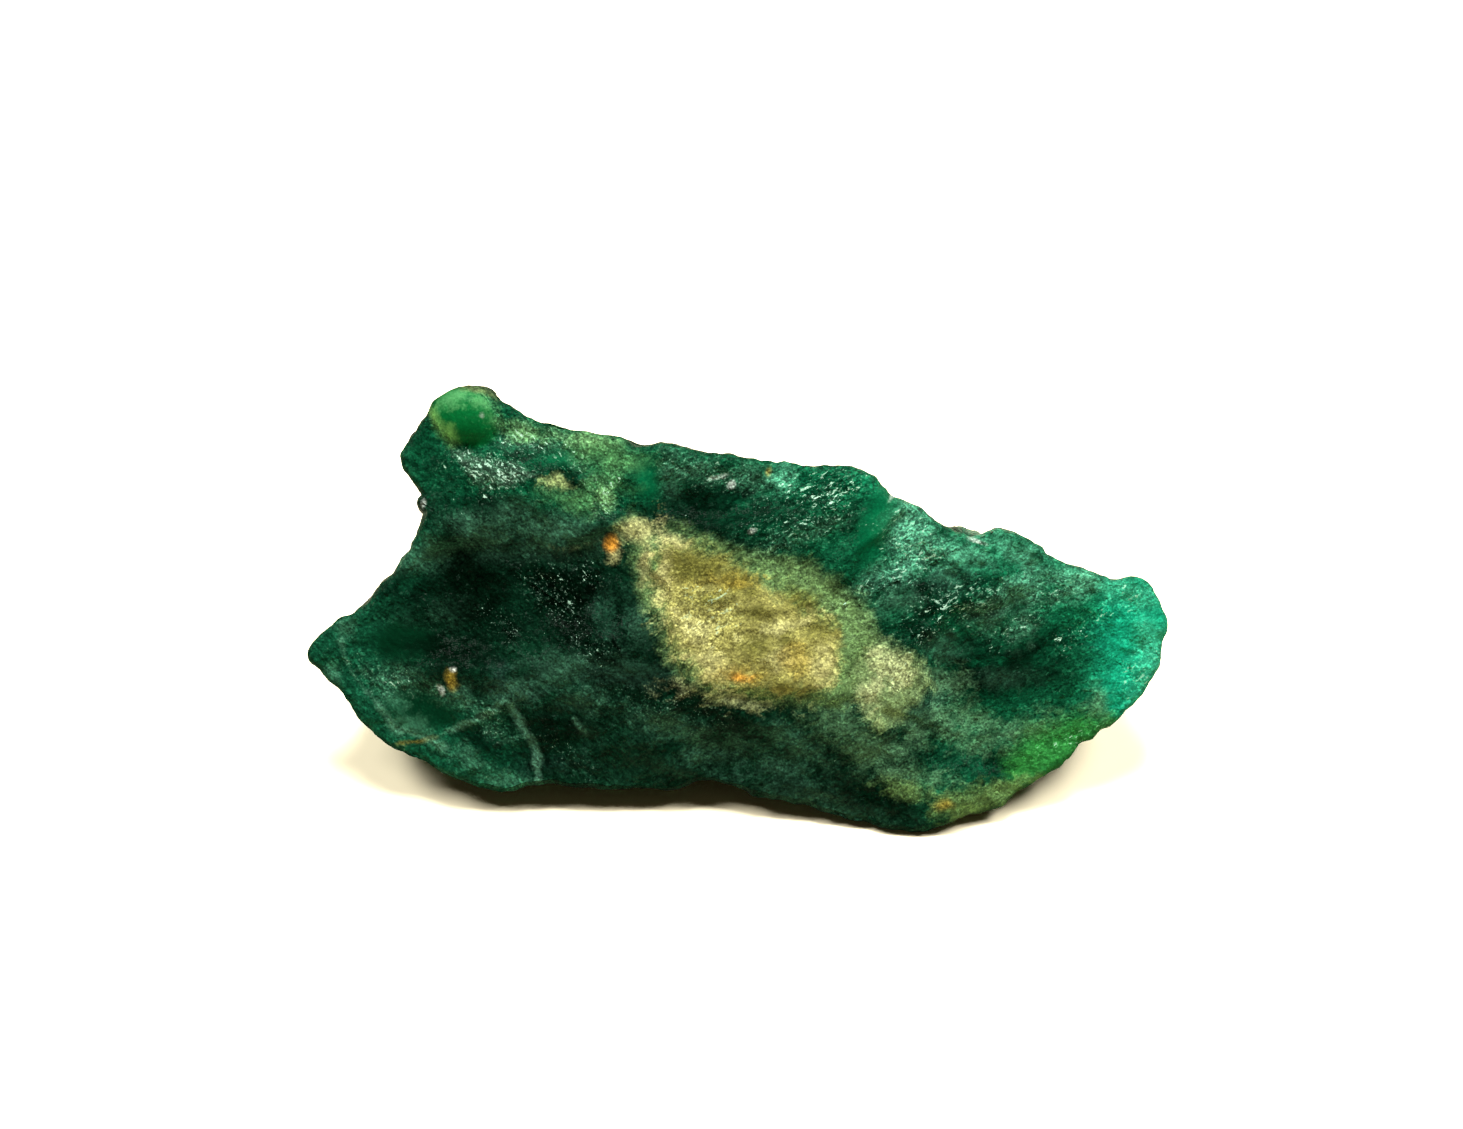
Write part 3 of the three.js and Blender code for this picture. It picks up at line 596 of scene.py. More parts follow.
# The marks, each laid over those before it, in millimetres on the face. "strength" is how well a colour
# covers, "soft" the half width of its border and "ragged" how far the grain moves that border. A spot is
# a middle, a half length and half width, and a turn. An area is a closed line. A line is a half width and
# its points.
marks = {
    "green": {"colour": "green", "strength": 0.85, "soft": 0.9, "ragged": 0.5, "areas": [[
        (-16.2, 7.3), (-14.8, 9.6), (-12.0, 11.0), (-10.0, 9.8), (-5.0, 8.6), (0.0, 7.8), (5.5, 7.4),
        (8.0, 5.4), (12.0, 4.6), (14.5, 2.9), (19.5, 2.0), (20.3, -0.5), (19.5, -3.6), (17.0, -6.0),
        (13.5, -9.0), (9.0, -9.8), (7.5, -8.0), (9.5, -5.0), (8.2, -1.6), (6.0, 0.4), (3.0, 2.6),
        (0.0, 4.2), (-2.5, 4.9), (-4.5, 5.0), (-8.5, 4.6), (-12.0, 5.4), (-14.2, 4.9)]]},
    "sea": {"colour": "sea", "strength": 0.8, "soft": 1.0, "ragged": 0.6, "areas": [[
        (10.0, 4.2), (14.6, 3.0), (19.6, 2.0), (20.3, -0.5), (19.3, -4.0), (16.5, -6.0), (15.2, -4.6),
        (16.0, -2.0), (13.8, 0.4), (10.0, 1.6)]],
        "spots": [
            ((5.4, 6.2), (1.6, 0.8), -20), ((2.4, 6.5), (1.4, 0.5), 0), ((11.5, 3.2), (1.6, 0.5), -30)]},
    "leftTeal": {"colour": "teal", "strength": 0.85, "soft": 0.8, "ragged": 0.5, "areas": [[
        (-21.0, -1.8), (-20.0, -0.1), (-18.4, 0.7), (-16.6, 2.4), (-15.6, 4.5), (-14.0, 3.6),
        (-14.8, 1.2), (-17.0, 0.2), (-16.2, -3.0), (-11.4, -4.4), (-10.4, -6.4), (-10.2, -8.8),
        (-12.0, -8.8), (-14.8, -7.8), (-17.6, -5.8), (-19.6, -3.6)]]},
    # painted shade: the hollows and the bowl under the ledge darkened nearly to black
    "pits": {"colour": "deep", "strength": 0.9, "soft": 0.8, "ragged": 0.4, "spots": [
        ((-12.5, 1.9), (2.6, 1.0), 5), ((-8.0, 1.4), (2.6, 1.3), -15), ((-6.4, -0.8), (1.6, 2.2), -10),
        ((-2.0, 5.2), (1.9, 0.75), -5), ((-0.4, 4.8), (1.4, 0.4), 10), ((8.0, 1.1), (1.0, 0.5), 10),
        ((8.7, 0.4), (0.7, 0.4), 15), ((13.2, -1.5), (1.4, 0.5), 15), ((10.8, -3.0), (2.0, 0.9), 0),
        ((-14.0, -1.4), (0.9, 0.5), 0), ((-4.4, -2.8), (1.6, 0.5), -25), ((-9.3, 6.9), (0.8, 0.3), -20),
        ((-9.0, -5.2), (0.9, 0.7), 0), ((-12.2, -5.8), (1.3, 0.6), -25), ((-12.3, 0.6), (1.6, 1.2), 0),
        ((-8.2, -0.4), (1.2, 0.7), -20)]},
    "ovals": {"colour": "clearDark", "strength": 0.8, "soft": 0.35, "ragged": 0.15, "spots": [
        ((-15.9, -1.2), (1.6, 0.9), 0), ((-15.1, -4.4), (1.5, 0.8), -12)]},
    "haze": {"colour": "haze", "strength": 0.6, "soft": 0.5, "ragged": 0.5, "spots": [
        ((-12.3, 4.0), (1.2, 0.6), -15), ((-13.9, 3.2), (0.9, 0.35), 0),
        ((-10.6, 4.5), (0.9, 0.5), -15), ((-9.0, 3.8), (1.3, 0.5), -5), ((-8.0, 5.0), (0.8, 0.3), -35),
        ((-8.3, -2.8), (1.3, 0.8), -12), ((2.3, -5.9), (0.9, 0.4), 0), ((-1.5, -6.1), (0.8, 0.4), 0),
        ((-4.8, -4.5), (1.6, 0.35), -12), ((-8.0, -4.9), (0.9, 0.25), -35),
        ((-2.5, -5.6), (2.5, 0.4), -8), ((-5.0, -7.0), (3.0, 0.5), 0), ((1.5, -7.1), (1.0, 0.2), -15),
        ((2.0, -5.5), (0.5, 0.3), -40), ((0.5, -6.3), (2.6, 0.3), -5), ((4.6, -5.5), (1.0, 0.3), -10),
        ((-5.2, 0.6), (0.4, 1.2), -10), ((-6.5, 0.0), (0.7, 1.3), 0)]},
    "blueHaze": {"colour": "blueHaze", "strength": 0.6, "soft": 0.5, "ragged": 0.5, "spots": [
        ((-11.3, -3.0), (0.5, 0.7), 15), ((-10.3, -3.4), (0.8, 0.4), 0),
        ((-5.2, -2.8), (1.2, 0.15), -3), ((-9.5, -6.9), (0.7, 0.3), 0)]},
    "mist": {"colour": "frostDark", "strength": 0.55, "soft": 0.6, "ragged": 0.5, "spots": [
        ((-12.2, 4.0), (1.4, 0.8), -10), ((-9.0, 3.9), (1.7, 0.7), 0), ((-7.0, 3.6), (1.1, 0.7), 10),
        ((-8.9, 3.1), (1.8, 0.4), 5), ((-4.6, -0.5), (0.3, 0.6), 0), ((-13.5, 0.3), (0.6, 0.4), 0),
        ((-11.0, 5.0), (0.9, 0.6), -20), ((-15.0, 2.8), (1.3, 0.6), 15), ((-8.3, -2.3), (1.5, 0.6), 0),
        ((-10.6, -3.3), (1.1, 0.6), 0), ((-5.4, -2.5), (1.3, 0.4), 0), ((-3.4, 6.3), (0.6, 0.9), 10),
        ((2.2, -6.0), (1.2, 0.5), -30), ((-1.2, -6.3), (1.1, 0.5), 0), ((1.5, -7.1), (0.8, 0.4), 0),
        ((3.0, -8.5), (2.0, 0.4), -15), ((-3.5, -5.0), (1.2, 0.5), -15), ((7.0, 0.7), (0.7, 0.4), 0),
        ((12.8, -0.4), (0.5, 0.8), -20), ((9.3, -1.4), (0.8, 0.6), 0), ((11.2, 0.1), (0.5, 0.8), 0),
        ((12.2, -2.8), (0.8, 0.3), 0), ((3.8, -4.0), (1.5, 0.4), -5), ((7.8, -4.3), (1.3, 0.7), 0),
        ((9.0, -3.3), (0.6, 0.7), 0), ((-7.6, -4.0), (0.8, 0.4), 0), ((-13.4, -3.5), (0.4, 0.5), 0)]},
    "dimFrost": {"colour": "frostDark", "strength": 0.65, "soft": 0.6, "ragged": 0.5, "spots": [
        ((-2.2, 6.8), (1.3, 0.5), -12), ((0.2, 6.5), (1.2, 0.5), -10), ((3.0, 4.0), (1.2, 0.3), 15),
        ((6.6, 1.8), (1.4, 0.4), 25), ((12.4, 0.9), (1.9, 0.7), 20), ((-9.8, 8.3), (1.8, 0.5), -15),
        ((-16.0, -3.0), (1.0, 0.3), -15), ((-12.0, -4.8), (0.6, 0.2), -40),
        ((14.5, 1.0), (1.2, 0.4), 10)]},
    # pale frosted ground, partly painted sheen where its facets face the light
    "frost": {"colour": "frost", "strength": 0.72, "soft": 0.7, "ragged": 0.45, "spots": [
        ((7.8, 3.8), (1.5, 1.0), -35), ((7.6, 4.8), (0.5, 0.9), 20), ((9.8, 3.0), (1.3, 0.5), -25),
        ((12.8, 2.9), (1.2, 0.3), -30), ((1.7, 6.6), (0.3, 0.4), -20), ((7.2, 2.2), (1.2, 0.3), 25),
        ((15.6, 1.5), (1.0, 0.4), -12), ((17.8, 1.1), (0.9, 0.3), 0), ((12.9, 1.3), (0.5, 0.35), 0),
        ((9.4, 1.7), (0.5, 0.6), 0)]},
    "shade": {"colour": "shade", "strength": 0.75, "soft": 0.6, "ragged": 0.45, "spots": [
        ((1.6, 4.8), (1.8, 0.7), 0), ((3.3, 5.8), (1.3, 0.4), 35), ((-1.7, 5.8), (1.5, 0.5), -5),
        ((5.0, 4.5), (0.5, 0.8), 0), ((-12.3, 5.6), (1.3, 0.4), -5), ((-14.2, 5.3), (1.1, 0.7), 0),
        ((-13.7, 6.4), (0.6, 1.0), 0), ((-10.0, 6.3), (0.7, 0.3), -20), ((-14.6, 7.2), (0.5, 0.6), 0),
        ((-15.4, 0.9), (1.3, 0.6), 20), ((-10.6, 7.7), (0.6, 0.25), -10), ((-8.3, 6.7), (0.7, 0.9), 0),
        ((-7.0, 4.9), (0.7, 0.4), 0), ((-8.2, 2.7), (1.3, 0.25), 12), ((-2.4, 4.4), (1.2, 0.4), -5),
        ((-11.6, 0.6), (2.8, 1.6), 0), ((-8.5, -0.5), (1.5, 1.0), -20), ((5.6, -0.8), (0.5, 0.7), 0),
        ((-9.6, -6.6), (1.4, 0.7), 0), ((-7.0, 2.0), (1.0, 0.4), -20), ((-13.6, -1.7), (2.0, 0.7), -5),
        ((-4.4, -1.6), (0.4, 0.8), -30), ((-3.2, -3.3), (0.9, 0.3), -30), ((10.7, 1.7), (1.5, 0.5), 10),
        ((6.0, 1.5), (1.0, 0.35), 20), ((13.9, -2.7), (1.5, 0.6), 15), ((10.7, -1.5), (0.9, 0.6), 0),
        ((8.0, -0.5), (0.5, 0.4), 0), ((17.0, -0.4), (0.9, 0.25), 25), ((9.6, -6.9), (1.6, 0.5), -5),
        ((12.0, -6.6), (1.3, 0.4), 10), ((-9.8, -7.2), (0.6, 0.6), 0), ((-6.4, -7.1), (1.2, 0.4), 0),
        ((-8.0, -5.0), (0.5, 0.8), 20), ((-2.0, -4.4), (1.4, 0.4), -10)]},
    # painted shade: darkens the bowl under the ledge further, with some darker spots of the stone
    # elsewhere
    "dark": {"colour": "deep", "strength": 0.75, "soft": 0.6, "ragged": 0.4, "spots": [
        ((-13.6, -1.5), (2.1, 0.8), -5), ((-8.1, -0.3), (1.4, 0.8), -30), ((-12.6, 1.0), (1.4, 1.4), 0),
        ((-10.7, 2.4), (0.8, 0.3), 0), ((-10.9, -0.7), (0.8, 0.6), 0), ((-6.4, -2.7), (1.2, 0.4), -5),
        ((-9.6, -2.4), (0.7, 0.3), 0), ((-4.0, -1.8), (0.4, 0.7), 10), ((-3.2, -3.3), (0.6, 0.35), -30),
        ((-9.7, -6.9), (0.4, 0.6), 0), ((-2.3, 4.4), (1.1, 0.35), -5), ((5.4, -0.8), (0.5, 0.9), 0),
        ((3.4, 1.4), (1.1, 0.5), -35), ((12.4, -2.3), (1.1, 0.5), 10), ((-9.2, 7.9), (0.8, 0.3), -15),
        ((-7.5, 6.3), (0.5, 0.4), 0), ((-12.2, 5.5), (0.7, 0.35), 0), ((5.8, -8.6), (1.8, 0.6), -10),
        ((1.5, -8.0), (1.2, 0.3), -15), ((-5.2, -2.6), (1.5, 0.3), -15), ((-16.5, 1.5), (0.6, 0.5), 30),
        ((-7.2, 2.0), (0.4, 0.3), 0), ((12.0, -6.9), (0.8, 0.4), 10), ((8.4, -0.9), (0.9, 0.5), 0),
        ((10.4, -2.6), (0.7, 0.4), 0), ((3.6, 1.3), (0.6, 0.4), 0), ((9.0, 1.2), (0.8, 0.6), 0),
        ((-15.0, 1.0), (0.6, 0.4), 0), ((-7.9, -4.9), (0.3, 0.5), 20),
        ((17.2, -0.9), (0.9, 0.25), 25)]},
    "glassy": {"colour": "clearGreen", "strength": 0.8, "soft": 0.45, "ragged": 0.2, "spots": [
        ((6.1, 4.3), (0.75, 1.9), -18), ((-4.6, 6.5), (0.6, 1.0), 0), ((-8.7, 7.5), (0.7, 0.3), 0)]},
    # painted glow of light coming through the thin right-hand end
    "bright": {"colour": "bright", "strength": 0.9, "soft": 1.1, "ragged": 0.3, "areas": [[
        (16.6, -1.0), (16.9, 1.2), (18.4, 1.8), (19.6, 1.0), (20.2, -0.6), (19.8, -2.8), (18.4, -4.6),
        (16.8, -4.8), (16.2, -3.4), (16.8, -1.8)]]},
    # painted glow, brightest near the very end
    "mint": {"colour": "mint", "strength": 0.65, "soft": 0.6, "ragged": 0.35, "spots": [
        ((19.0, -1.8), (0.7, 1.5), 10), ((18.2, 0.9), (0.9, 0.4), -10),
        ((18.6, -3.0), (0.4, 0.8), -30)]},
    "leaf": {"colour": "leaf", "strength": 0.85, "soft": 0.6, "ragged": 0.3, "spots": [
        ((-7.0, 8.0), (1.0, 0.6), -10), ((-6.2, 7.4), (0.6, 0.8), -10), ((-6.6, 6.4), (0.6, 0.5), 0),
        ((-7.2, 5.7), (0.9, 0.3), 10), ((-8.2, 5.5), (0.7, 0.3), -20), ((-9.8, 8.7), (0.6, 0.2), -15),
        ((-5.4, 7.3), (0.7, 0.4), 0)]},
    "leafPale": {"colour": "leafPale", "strength": 0.6, "soft": 0.4, "ragged": 0.3, "spots": [
        ((-7.3, 8.4), (0.9, 0.25), -8), ((-10.6, 8.8), (0.6, 0.25), -15),
        ((-6.6, 5.7), (0.4, 0.5), 0)]},
    "lime": {"colour": "lime", "strength": 0.85, "soft": 0.6, "ragged": 0.4, "areas": [[
        (13.2, -5.0), (15.2, -4.6), (17.0, -4.6), (17.8, -5.2), (15.6, -6.6), (12.6, -8.2),
        (12.2, -6.6)]]},
    "cloudy": {"colour": "cloudy", "strength": 0.55, "soft": 0.6, "ragged": 0.6, "spots": [
        ((9.2, -3.1), (0.8, 0.5), -10), ((7.6, -4.8), (1.1, 0.4), 0), ((9.8, -5.6), (1.2, 0.4), -15),
        ((16.2, -4.2), (0.5, 0.6), 0), ((4.4, -5.0), (1.3, 0.5), -10), ((6.0, -6.2), (1.1, 0.7), -15),
        ((8.0, -5.3), (0.6, 0.7), 0), ((10.7, -4.9), (1.1, 0.5), -30), ((12.6, -5.3), (1.4, 0.4), 20),
        ((9.4, -4.7), (0.6, 0.5), 0), ((7.7, -7.6), (1.3, 0.4), -12), ((11.0, -5.9), (1.2, 0.4), 10)]},
    "toe": {"colour": "toe", "strength": 0.85, "soft": 0.4, "ragged": 0.4, "areas": [[
        (8.7, -9.3), (9.0, -8.5), (10.6, -8.2), (12.2, -7.6), (13.6, -7.5), (12.6, -8.6),
        (10.2, -10.0)]],
        "spots": [((7.4, -8.2), (0.9, 0.3), -15)]},
    "rimTeal": {"colour": "tealPale", "strength": 0.7, "soft": 0.35, "ragged": 0.35, "spots": [
        ((-12.7, -6.7), (0.8, 0.4), -40), ((-15.5, -5.1), (0.8, 0.4), -20),
        ((-19.2, -2.8), (0.5, 0.6), 30), ((-18.7, -0.5), (0.5, 0.4), 0),
        ((-11.0, -7.7), (1.2, 0.2), -5), ((-16.6, -3.6), (0.9, 0.25), -50),
        ((-14.2, -6.1), (0.9, 0.2), -30)]},
    "veins": {"colour": "vein", "strength": 0.5, "soft": 0.14, "ragged": 0.12, "lines": [
        (0.05, [(-19.0, -0.2), (-18.9, -1.2), (-18.6, -2.0), (-18.2, -2.7), (-17.6, -3.3), (-17.1, -3.9)]),
        (0.12, [(-17.1, -3.9), (-16.7, -4.6), (-16.4, -5.0), (-15.4, -5.4), (-14.0, -6.1)]),
        (0.15, [(-14.0, -5.4), (-12.4, -4.7), (-11.2, -4.0)]),
        (0.18, [(-10.9, -4.1), (-10.5, -4.9), (-10.1, -5.7), (-9.8, -6.6), (-9.7, -7.5)]),
        (0.05, [(-7.9, -4.7), (-7.2, -5.4)])]},
    # painted highlight along the lit lip of the ledge
    "ledgeLine": {"colour": "cream", "strength": 0.45, "soft": 0.12, "ragged": 0.04, "lines": [
        (0.05, [(-9.3, 3.2), (-8.4, 3.1), (-7.8, 3.4), (-7.1, 3.65), (-6.7, 3.7)])]},
    "fringe": {"colour": "fringe", "strength": 0.85, "soft": 0.6, "ragged": 0.45, "areas": [[
        (-6.1, 4.0), (-5.4, 4.6), (-4.2, 3.8), (-2.6, 3.3), (-0.4, 2.9), (1.6, 2.6), (2.9, 2.1),
        (4.2, 1.5), (5.6, 0.8), (6.2, -0.8), (6.0, -3.6), (4.6, -4.2), (1.6, -3.9), (-1.4, -3.7),
        (-2.6, -3.1), (-3.8, -1.2), (-4.4, 0.2), (-4.8, 1.6), (-5.1, 2.6), (-5.2, 3.4)]],
        "lines": [(0.3, [(-3.4, 3.6), (-0.8, 2.9), (1.4, 2.5), (2.6, 2.2)])]},
    "patch": {"colour": "patchCream", "strength": 0.95, "soft": 0.5, "ragged": 0.5, "areas": [[
        (-4.3, 3.1), (-3.4, 3.3), (-2.3, 3.1), (-1.1, 2.8), (0.0, 2.1), (0.8, 1.5), (1.6, 1.1),
        (2.7, 0.4), (3.9, -0.1), (4.5, -0.9), (4.4, -2.2), (3.9, -3.2), (3.1, -3.4), (1.6, -3.5),
        (0.7, -3.3), (-0.4, -3.3), (-1.8, -3.1), (-2.4, -2.7), (-3.0, -1.8), (-3.5, -1.0), (-3.8, 0.2),
        (-3.8, 1.5), (-4.0, 2.4)]]},
    "patchOlive": {"colour": "olive", "strength": 0.85, "soft": 0.5, "ragged": 0.4, "spots": [
        ((-2.2, 2.4), (1.9, 0.8), -8), ((-0.5, 1.8), (1.2, 0.7), -25), ((-1.5, 0.9), (1.1, 0.3), 5),
        ((0.2, 1.2), (0.5, 0.6), 0), ((0.7, 0.1), (0.9, 0.4), 0), ((0.5, -1.2), (0.8, 0.6), 0),
        ((1.8, -3.0), (0.7, 0.25), -10), ((3.4, -0.5), (0.9, 0.6), 0), ((1.8, -1.0), (0.4, 0.4), 0),
        ((2.6, 0.7), (0.9, 0.5), -30)]},
    "patchChalk": {"colour": "chalk", "strength": 0.6, "soft": 0.4, "ragged": 0.6, "spots": [
        ((-3.8, 2.0), (0.25, 1.2), 5), ((-2.4, -0.6), (1.0, 0.6), -20), ((-1.8, -2.1), (1.2, 0.6), -30),
        ((-3.9, 0.0), (0.2, 0.4), 0), ((3.6, -2.3), (0.6, 0.8), 0), ((1.6, -0.5), (0.8, 0.2), 15),
        ((1.6, -1.9), (0.5, 0.4), 0)]},
    "patchGold": {"colour": "gold", "strength": 0.4, "soft": 0.4, "ragged": 0.4, "spots": [
        ((-0.3, -2.6), (0.8, 0.3), 0), ((2.3, -1.9), (0.5, 0.7), 0), ((-0.6, 1.7), (0.8, 0.15), 0)]},
    "creamLobe": {"colour": "chalk", "strength": 0.7, "soft": 0.25, "ragged": 0.2, "spots": [
        ((-5.15, 4.0), (0.8, 0.42), 0), ((-6.2, 3.0), (0.4, 0.35), -20), ((-3.3, 3.5), (0.6, 0.2), -15),
        ((-4.6, 2.5), (0.3, 0.8), 0)]},
    "secondPatch": {"colour": "paleGreen", "strength": 0.85, "soft": 0.5, "ragged": 0.5, "areas": [[
        (5.1, -2.4), (5.9, -1.7), (6.6, -1.1), (7.4, -1.6), (8.3, -2.3), (8.6, -3.2), (8.2, -3.9),
        (7.4, -4.7), (6.2, -5.3), (5.5, -4.6), (5.0, -3.4)]]},
    "secondPale": {"colour": "palest", "strength": 0.7, "soft": 0.4, "ragged": 0.5, "spots": [
        ((6.9, -2.5), (1.1, 0.8), -35), ((6.0, -3.6), (0.6, 0.9), -20),
        ((-0.6, -3.75), (1.5, 0.25), -8)]},
    "knob": {"colour": "knob", "strength": 0.95, "soft": 0.15, "ragged": 0.0, "spots": [
        ((-13.0, 9.3), (1.5, 1.2), -25)]},
    # painted highlights on the blister's top
    "knobPale": {"colour": "knobHighlightColour", "strength": 0.5, "soft": 0.3, "ragged": 0.4, "spots": [
        ((-13.4, 9.95), (0.7, 0.35), 20), ((-12.2, 10.0), (0.6, 0.3), -20),
        ((-11.5, 9.2), (0.6, 0.3), -35)]},
    # painted glow where light comes through the blister's lower rim
    "knobLime": {"colour": "knobLime", "strength": 0.5, "soft": 0.3, "ragged": 0.15, "spots": [
        ((-13.75, 8.4), (0.4, 0.35), -30)],
        "lines": [(0.15, [(-14.45, 9.5), (-14.35, 8.95), (-14.05, 8.4), (-13.6, 8.15)])]},
    "crest": {"colour": "crest", "strength": 0.7, "soft": 0.2, "ragged": 0.2, "lines": [
        (0.1, [(-12.9, 10.6), (-12.2, 10.55), (-11.6, 10.2)])]},
    "glitter": {"colour": "grey", "strength": 0.3, "soft": 0.3, "ragged": 0.5, "areas": [[
        (-13.6, 7.8), (-12.3, 7.8), (-11.2, 7.4), (-10.2, 7.1), (-10.0, 6.6), (-10.8, 6.1),
        (-12.2, 6.1), (-12.9, 6.5), (-13.1, 7.1)]]},
    "orange": {"colour": "orange", "strength": 0.8, "soft": 0.2, "ragged": 0.1, "spots": [
        ((-6.4, 3.5), (0.34, 0.4), 0), ((-0.3, -2.75), (0.35, 0.15), 0)]},
    "yellow": {"colour": "gold", "strength": 0.65, "soft": 0.18, "ragged": 0.1, "spots": [
        ((-13.55, -2.9), (0.25, 0.4), 0), ((-15.5, -5.8), (0.3, 0.06), 10),
        ((9.2, -9.0), (0.3, 0.18), 0), ((1.0, 6.85), (0.1, 0.13), 0)]},
    "paleYellow": {"colour": "leafYellow", "strength": 0.6, "soft": 0.3, "ragged": 0.3, "spots": [
        ((-8.9, 6.3), (0.4, 0.22), 10)]},
    # sugary ground, where painted glints of small crystals lie, and where those painted glints lie in
    # streaks
    "sugar": {"strength": 1.0, "soft": 0.6, "ragged": 0.6, "spots": [
        ((-11.8, 6.9), (1.9, 1.0), -10), ((-9.8, 8.2), (2.2, 0.7), -15), ((-2.0, 6.8), (2.2, 0.6), -10),
        ((3.2, 6.2), (2.2, 0.8), 10), ((2.6, 4.2), (2.2, 0.8), 10), ((-12.0, -4.8), (0.8, 0.4), -40),
        ((-16.6, -3.0), (1.4, 0.4), -20), ((-3.0, -4.2), (1.6, 0.4), -10),
        ((-1.9, 0.3), (1.8, 1.4), -30), ((7.0, -2.7), (0.9, 0.7), -30), ((-6.6, 5.8), (0.8, 0.9), 0)]},
    "bowlStreaks": {"strength": 1.0, "soft": 0.5, "ragged": 0.6, "spots": [
        ((-9.0, 1.1), (1.6, 1.0), -40), ((-11.1, -0.5), (0.7, 0.3), -40),
        ((-7.4, 2.2), (0.8, 0.6), -40), ((-7.0, -1.4), (0.9, 0.5), -30),
        ((-8.2, -6.6), (0.8, 0.3), -40)]},
    "riseStreaks": {"strength": 1.0, "soft": 0.5, "ragged": 0.6, "spots": [
        ((7.8, 3.6), (1.8, 1.2), -35), ((6.8, 1.8), (1.8, 0.5), 25), ((10.2, 0.7), (2.4, 0.9), 15),
        ((8.4, -0.9), (0.8, 0.3), 25), ((14.4, 1.2), (1.0, 0.5), 20), ((18.4, -2.6), (0.8, 1.3), -20),
        ((18.0, 0.8), (1.0, 0.7), 0), ((15.0, -5.7), (1.2, 0.3), 20), ((3.8, 5.6), (1.2, 0.8), 20)],
        "lines": [
            (0.25, [(11.2, -1.0), (12.4, -0.7), (13.6, 0.3)]),
            (0.25, [(14.9, -1.2), (15.9, -0.5), (17.4, 0.6)])]},
    # painted glints: small bright highlights of single crystals
    "whiteChips": {"colour": "white", "strength": 0.55, "soft": 0.1, "ragged": 0.06, "spots": [
        ((-14.1, -3.4), (0.12, 0.25), 20), ((-13.5, -2.4), (0.14, 0.12), 0),
        ((-1.45, 6.6), (0.28, 0.08), 15), ((-0.85, 6.3), (0.1, 0.16), 0), ((0.4, 4.1), (0.14, 0.1), 0),
        ((10.8, 3.6), (0.28, 0.1), -25), ((6.9, 5.6), (0.1, 0.35), -35), ((-12.2, 9.4), (0.1, 0.08), 0),
        ((-15.15, 5.25), (0.1, 0.18), 0)]},
}

finish = {
    # the straying of the marks' borders: size, reach and salt
    "strays": [(3.0, 0.25, 31), (1.1, 0.14, 41), (0.45, 0.06, 51)],
    "backFade": 4.0,  # how far the marks draw in where the wall has turned to the back
    "farOutside": -9.0,  # points further outside a mark than this count as this far
    # noises: size, detail and roughness
    "clouds": (4.5, 2, 0.5),
    "mottle": (0.9, 3, 0.7),
    "dust": (0.1, 1, 0.5),
    "streaks": (0.17, 2, 0.75),
    "streakStretch": 3,
    "streakTurns": (-45, 27),  # in degrees: falling to the right in the bowl, rising over the rest
    "streaksTurnBetween": (-6, -3),  # from and to along u
    "smallCrystal": 0.16,
    "mediumCrystal": 0.34,
    "mediumStretch": 1.8,
    "mediumTurn": 24,
    "raggedness": (2.3, 0.7, 0.9),  # shares of mottle, medium crystals and dust in a mark's ragged border
    # the body: the noise values between which its clouds set in, and how strong they are
    "darkClouds": (0.38, 0.62),
    "haze": (0.45, 0.7, 0.5),
    "backClouds": (0.52, 0.62, 0.6),
    "backCloudMottle": 0.4,
    # marks whose ground is calmer, and marks whose crystals lie in streaks, and by what share
    "glassyMarks": {"glassy": 1, "ovals": 1, "knob": 1, "bright": 0.6, "lime": 0.5},
    "streakyMarks": {"bowlStreaks": 0.75, "riseStreaks": 1.15},
    "glitter": 1.2,  # the glitter mark's share of sugary ground
    "darkRim": 0.8,  # strength of the dark line round the wall
    # the grain: how much each pattern lightens and darkens, more in the sugary zones, and the places and
    # greys of its ramp, which starts with two stops, so the one between comes last
    "grain": {
        "crystals": 0.5,
        "streaks": 2.3,
        "lessStreaksOnPale": 1.5,
        "dust": 1.4,
        "mottleOnPale": 0.8,
        "contrast": 0.75,
        "sugaryContrast": 0.55,
        "middle": 0.46,
        "stops": [(0.0, 0.15), (1.0, 1.0), (0.5, 0.45)],
        "strength": 0.95,
        "lessOnGlassy": 0.75,
    },
    # the painted glints: the levels of streaks and dust between which they set in, and where they are
    # fewer
    "glints": {
        "streaks": (0.6, 0.67),
        "fewerOutside": 0.14,
        "least": 0.3,
        "dust": (0.66, 0.72),
        "dustStrength": 0.25,
        "lessOnGlassy": 0.8,
        "lessOnPale": 0.6,
    },
    # the bump: the crystals' tilt, which of them are steeper and by how much, and the mottle
    "bump": {
        "tilt": 0.3,
        "steepest": (0.85, 0.9),
        "steeper": 2,
        "mottle": 0.2,
        "glassyBorder": 0.3,
        "lessOnGlassy": 0.8,
    },
    "roughness": {"least": 0.12, "mottle": 0.25, "patch": 0.2, "rim": 0.4},
    "ior": 1.5,
    "specular": 0.01,
    "specularTint": (0.8, 1.0, 0.86),
}


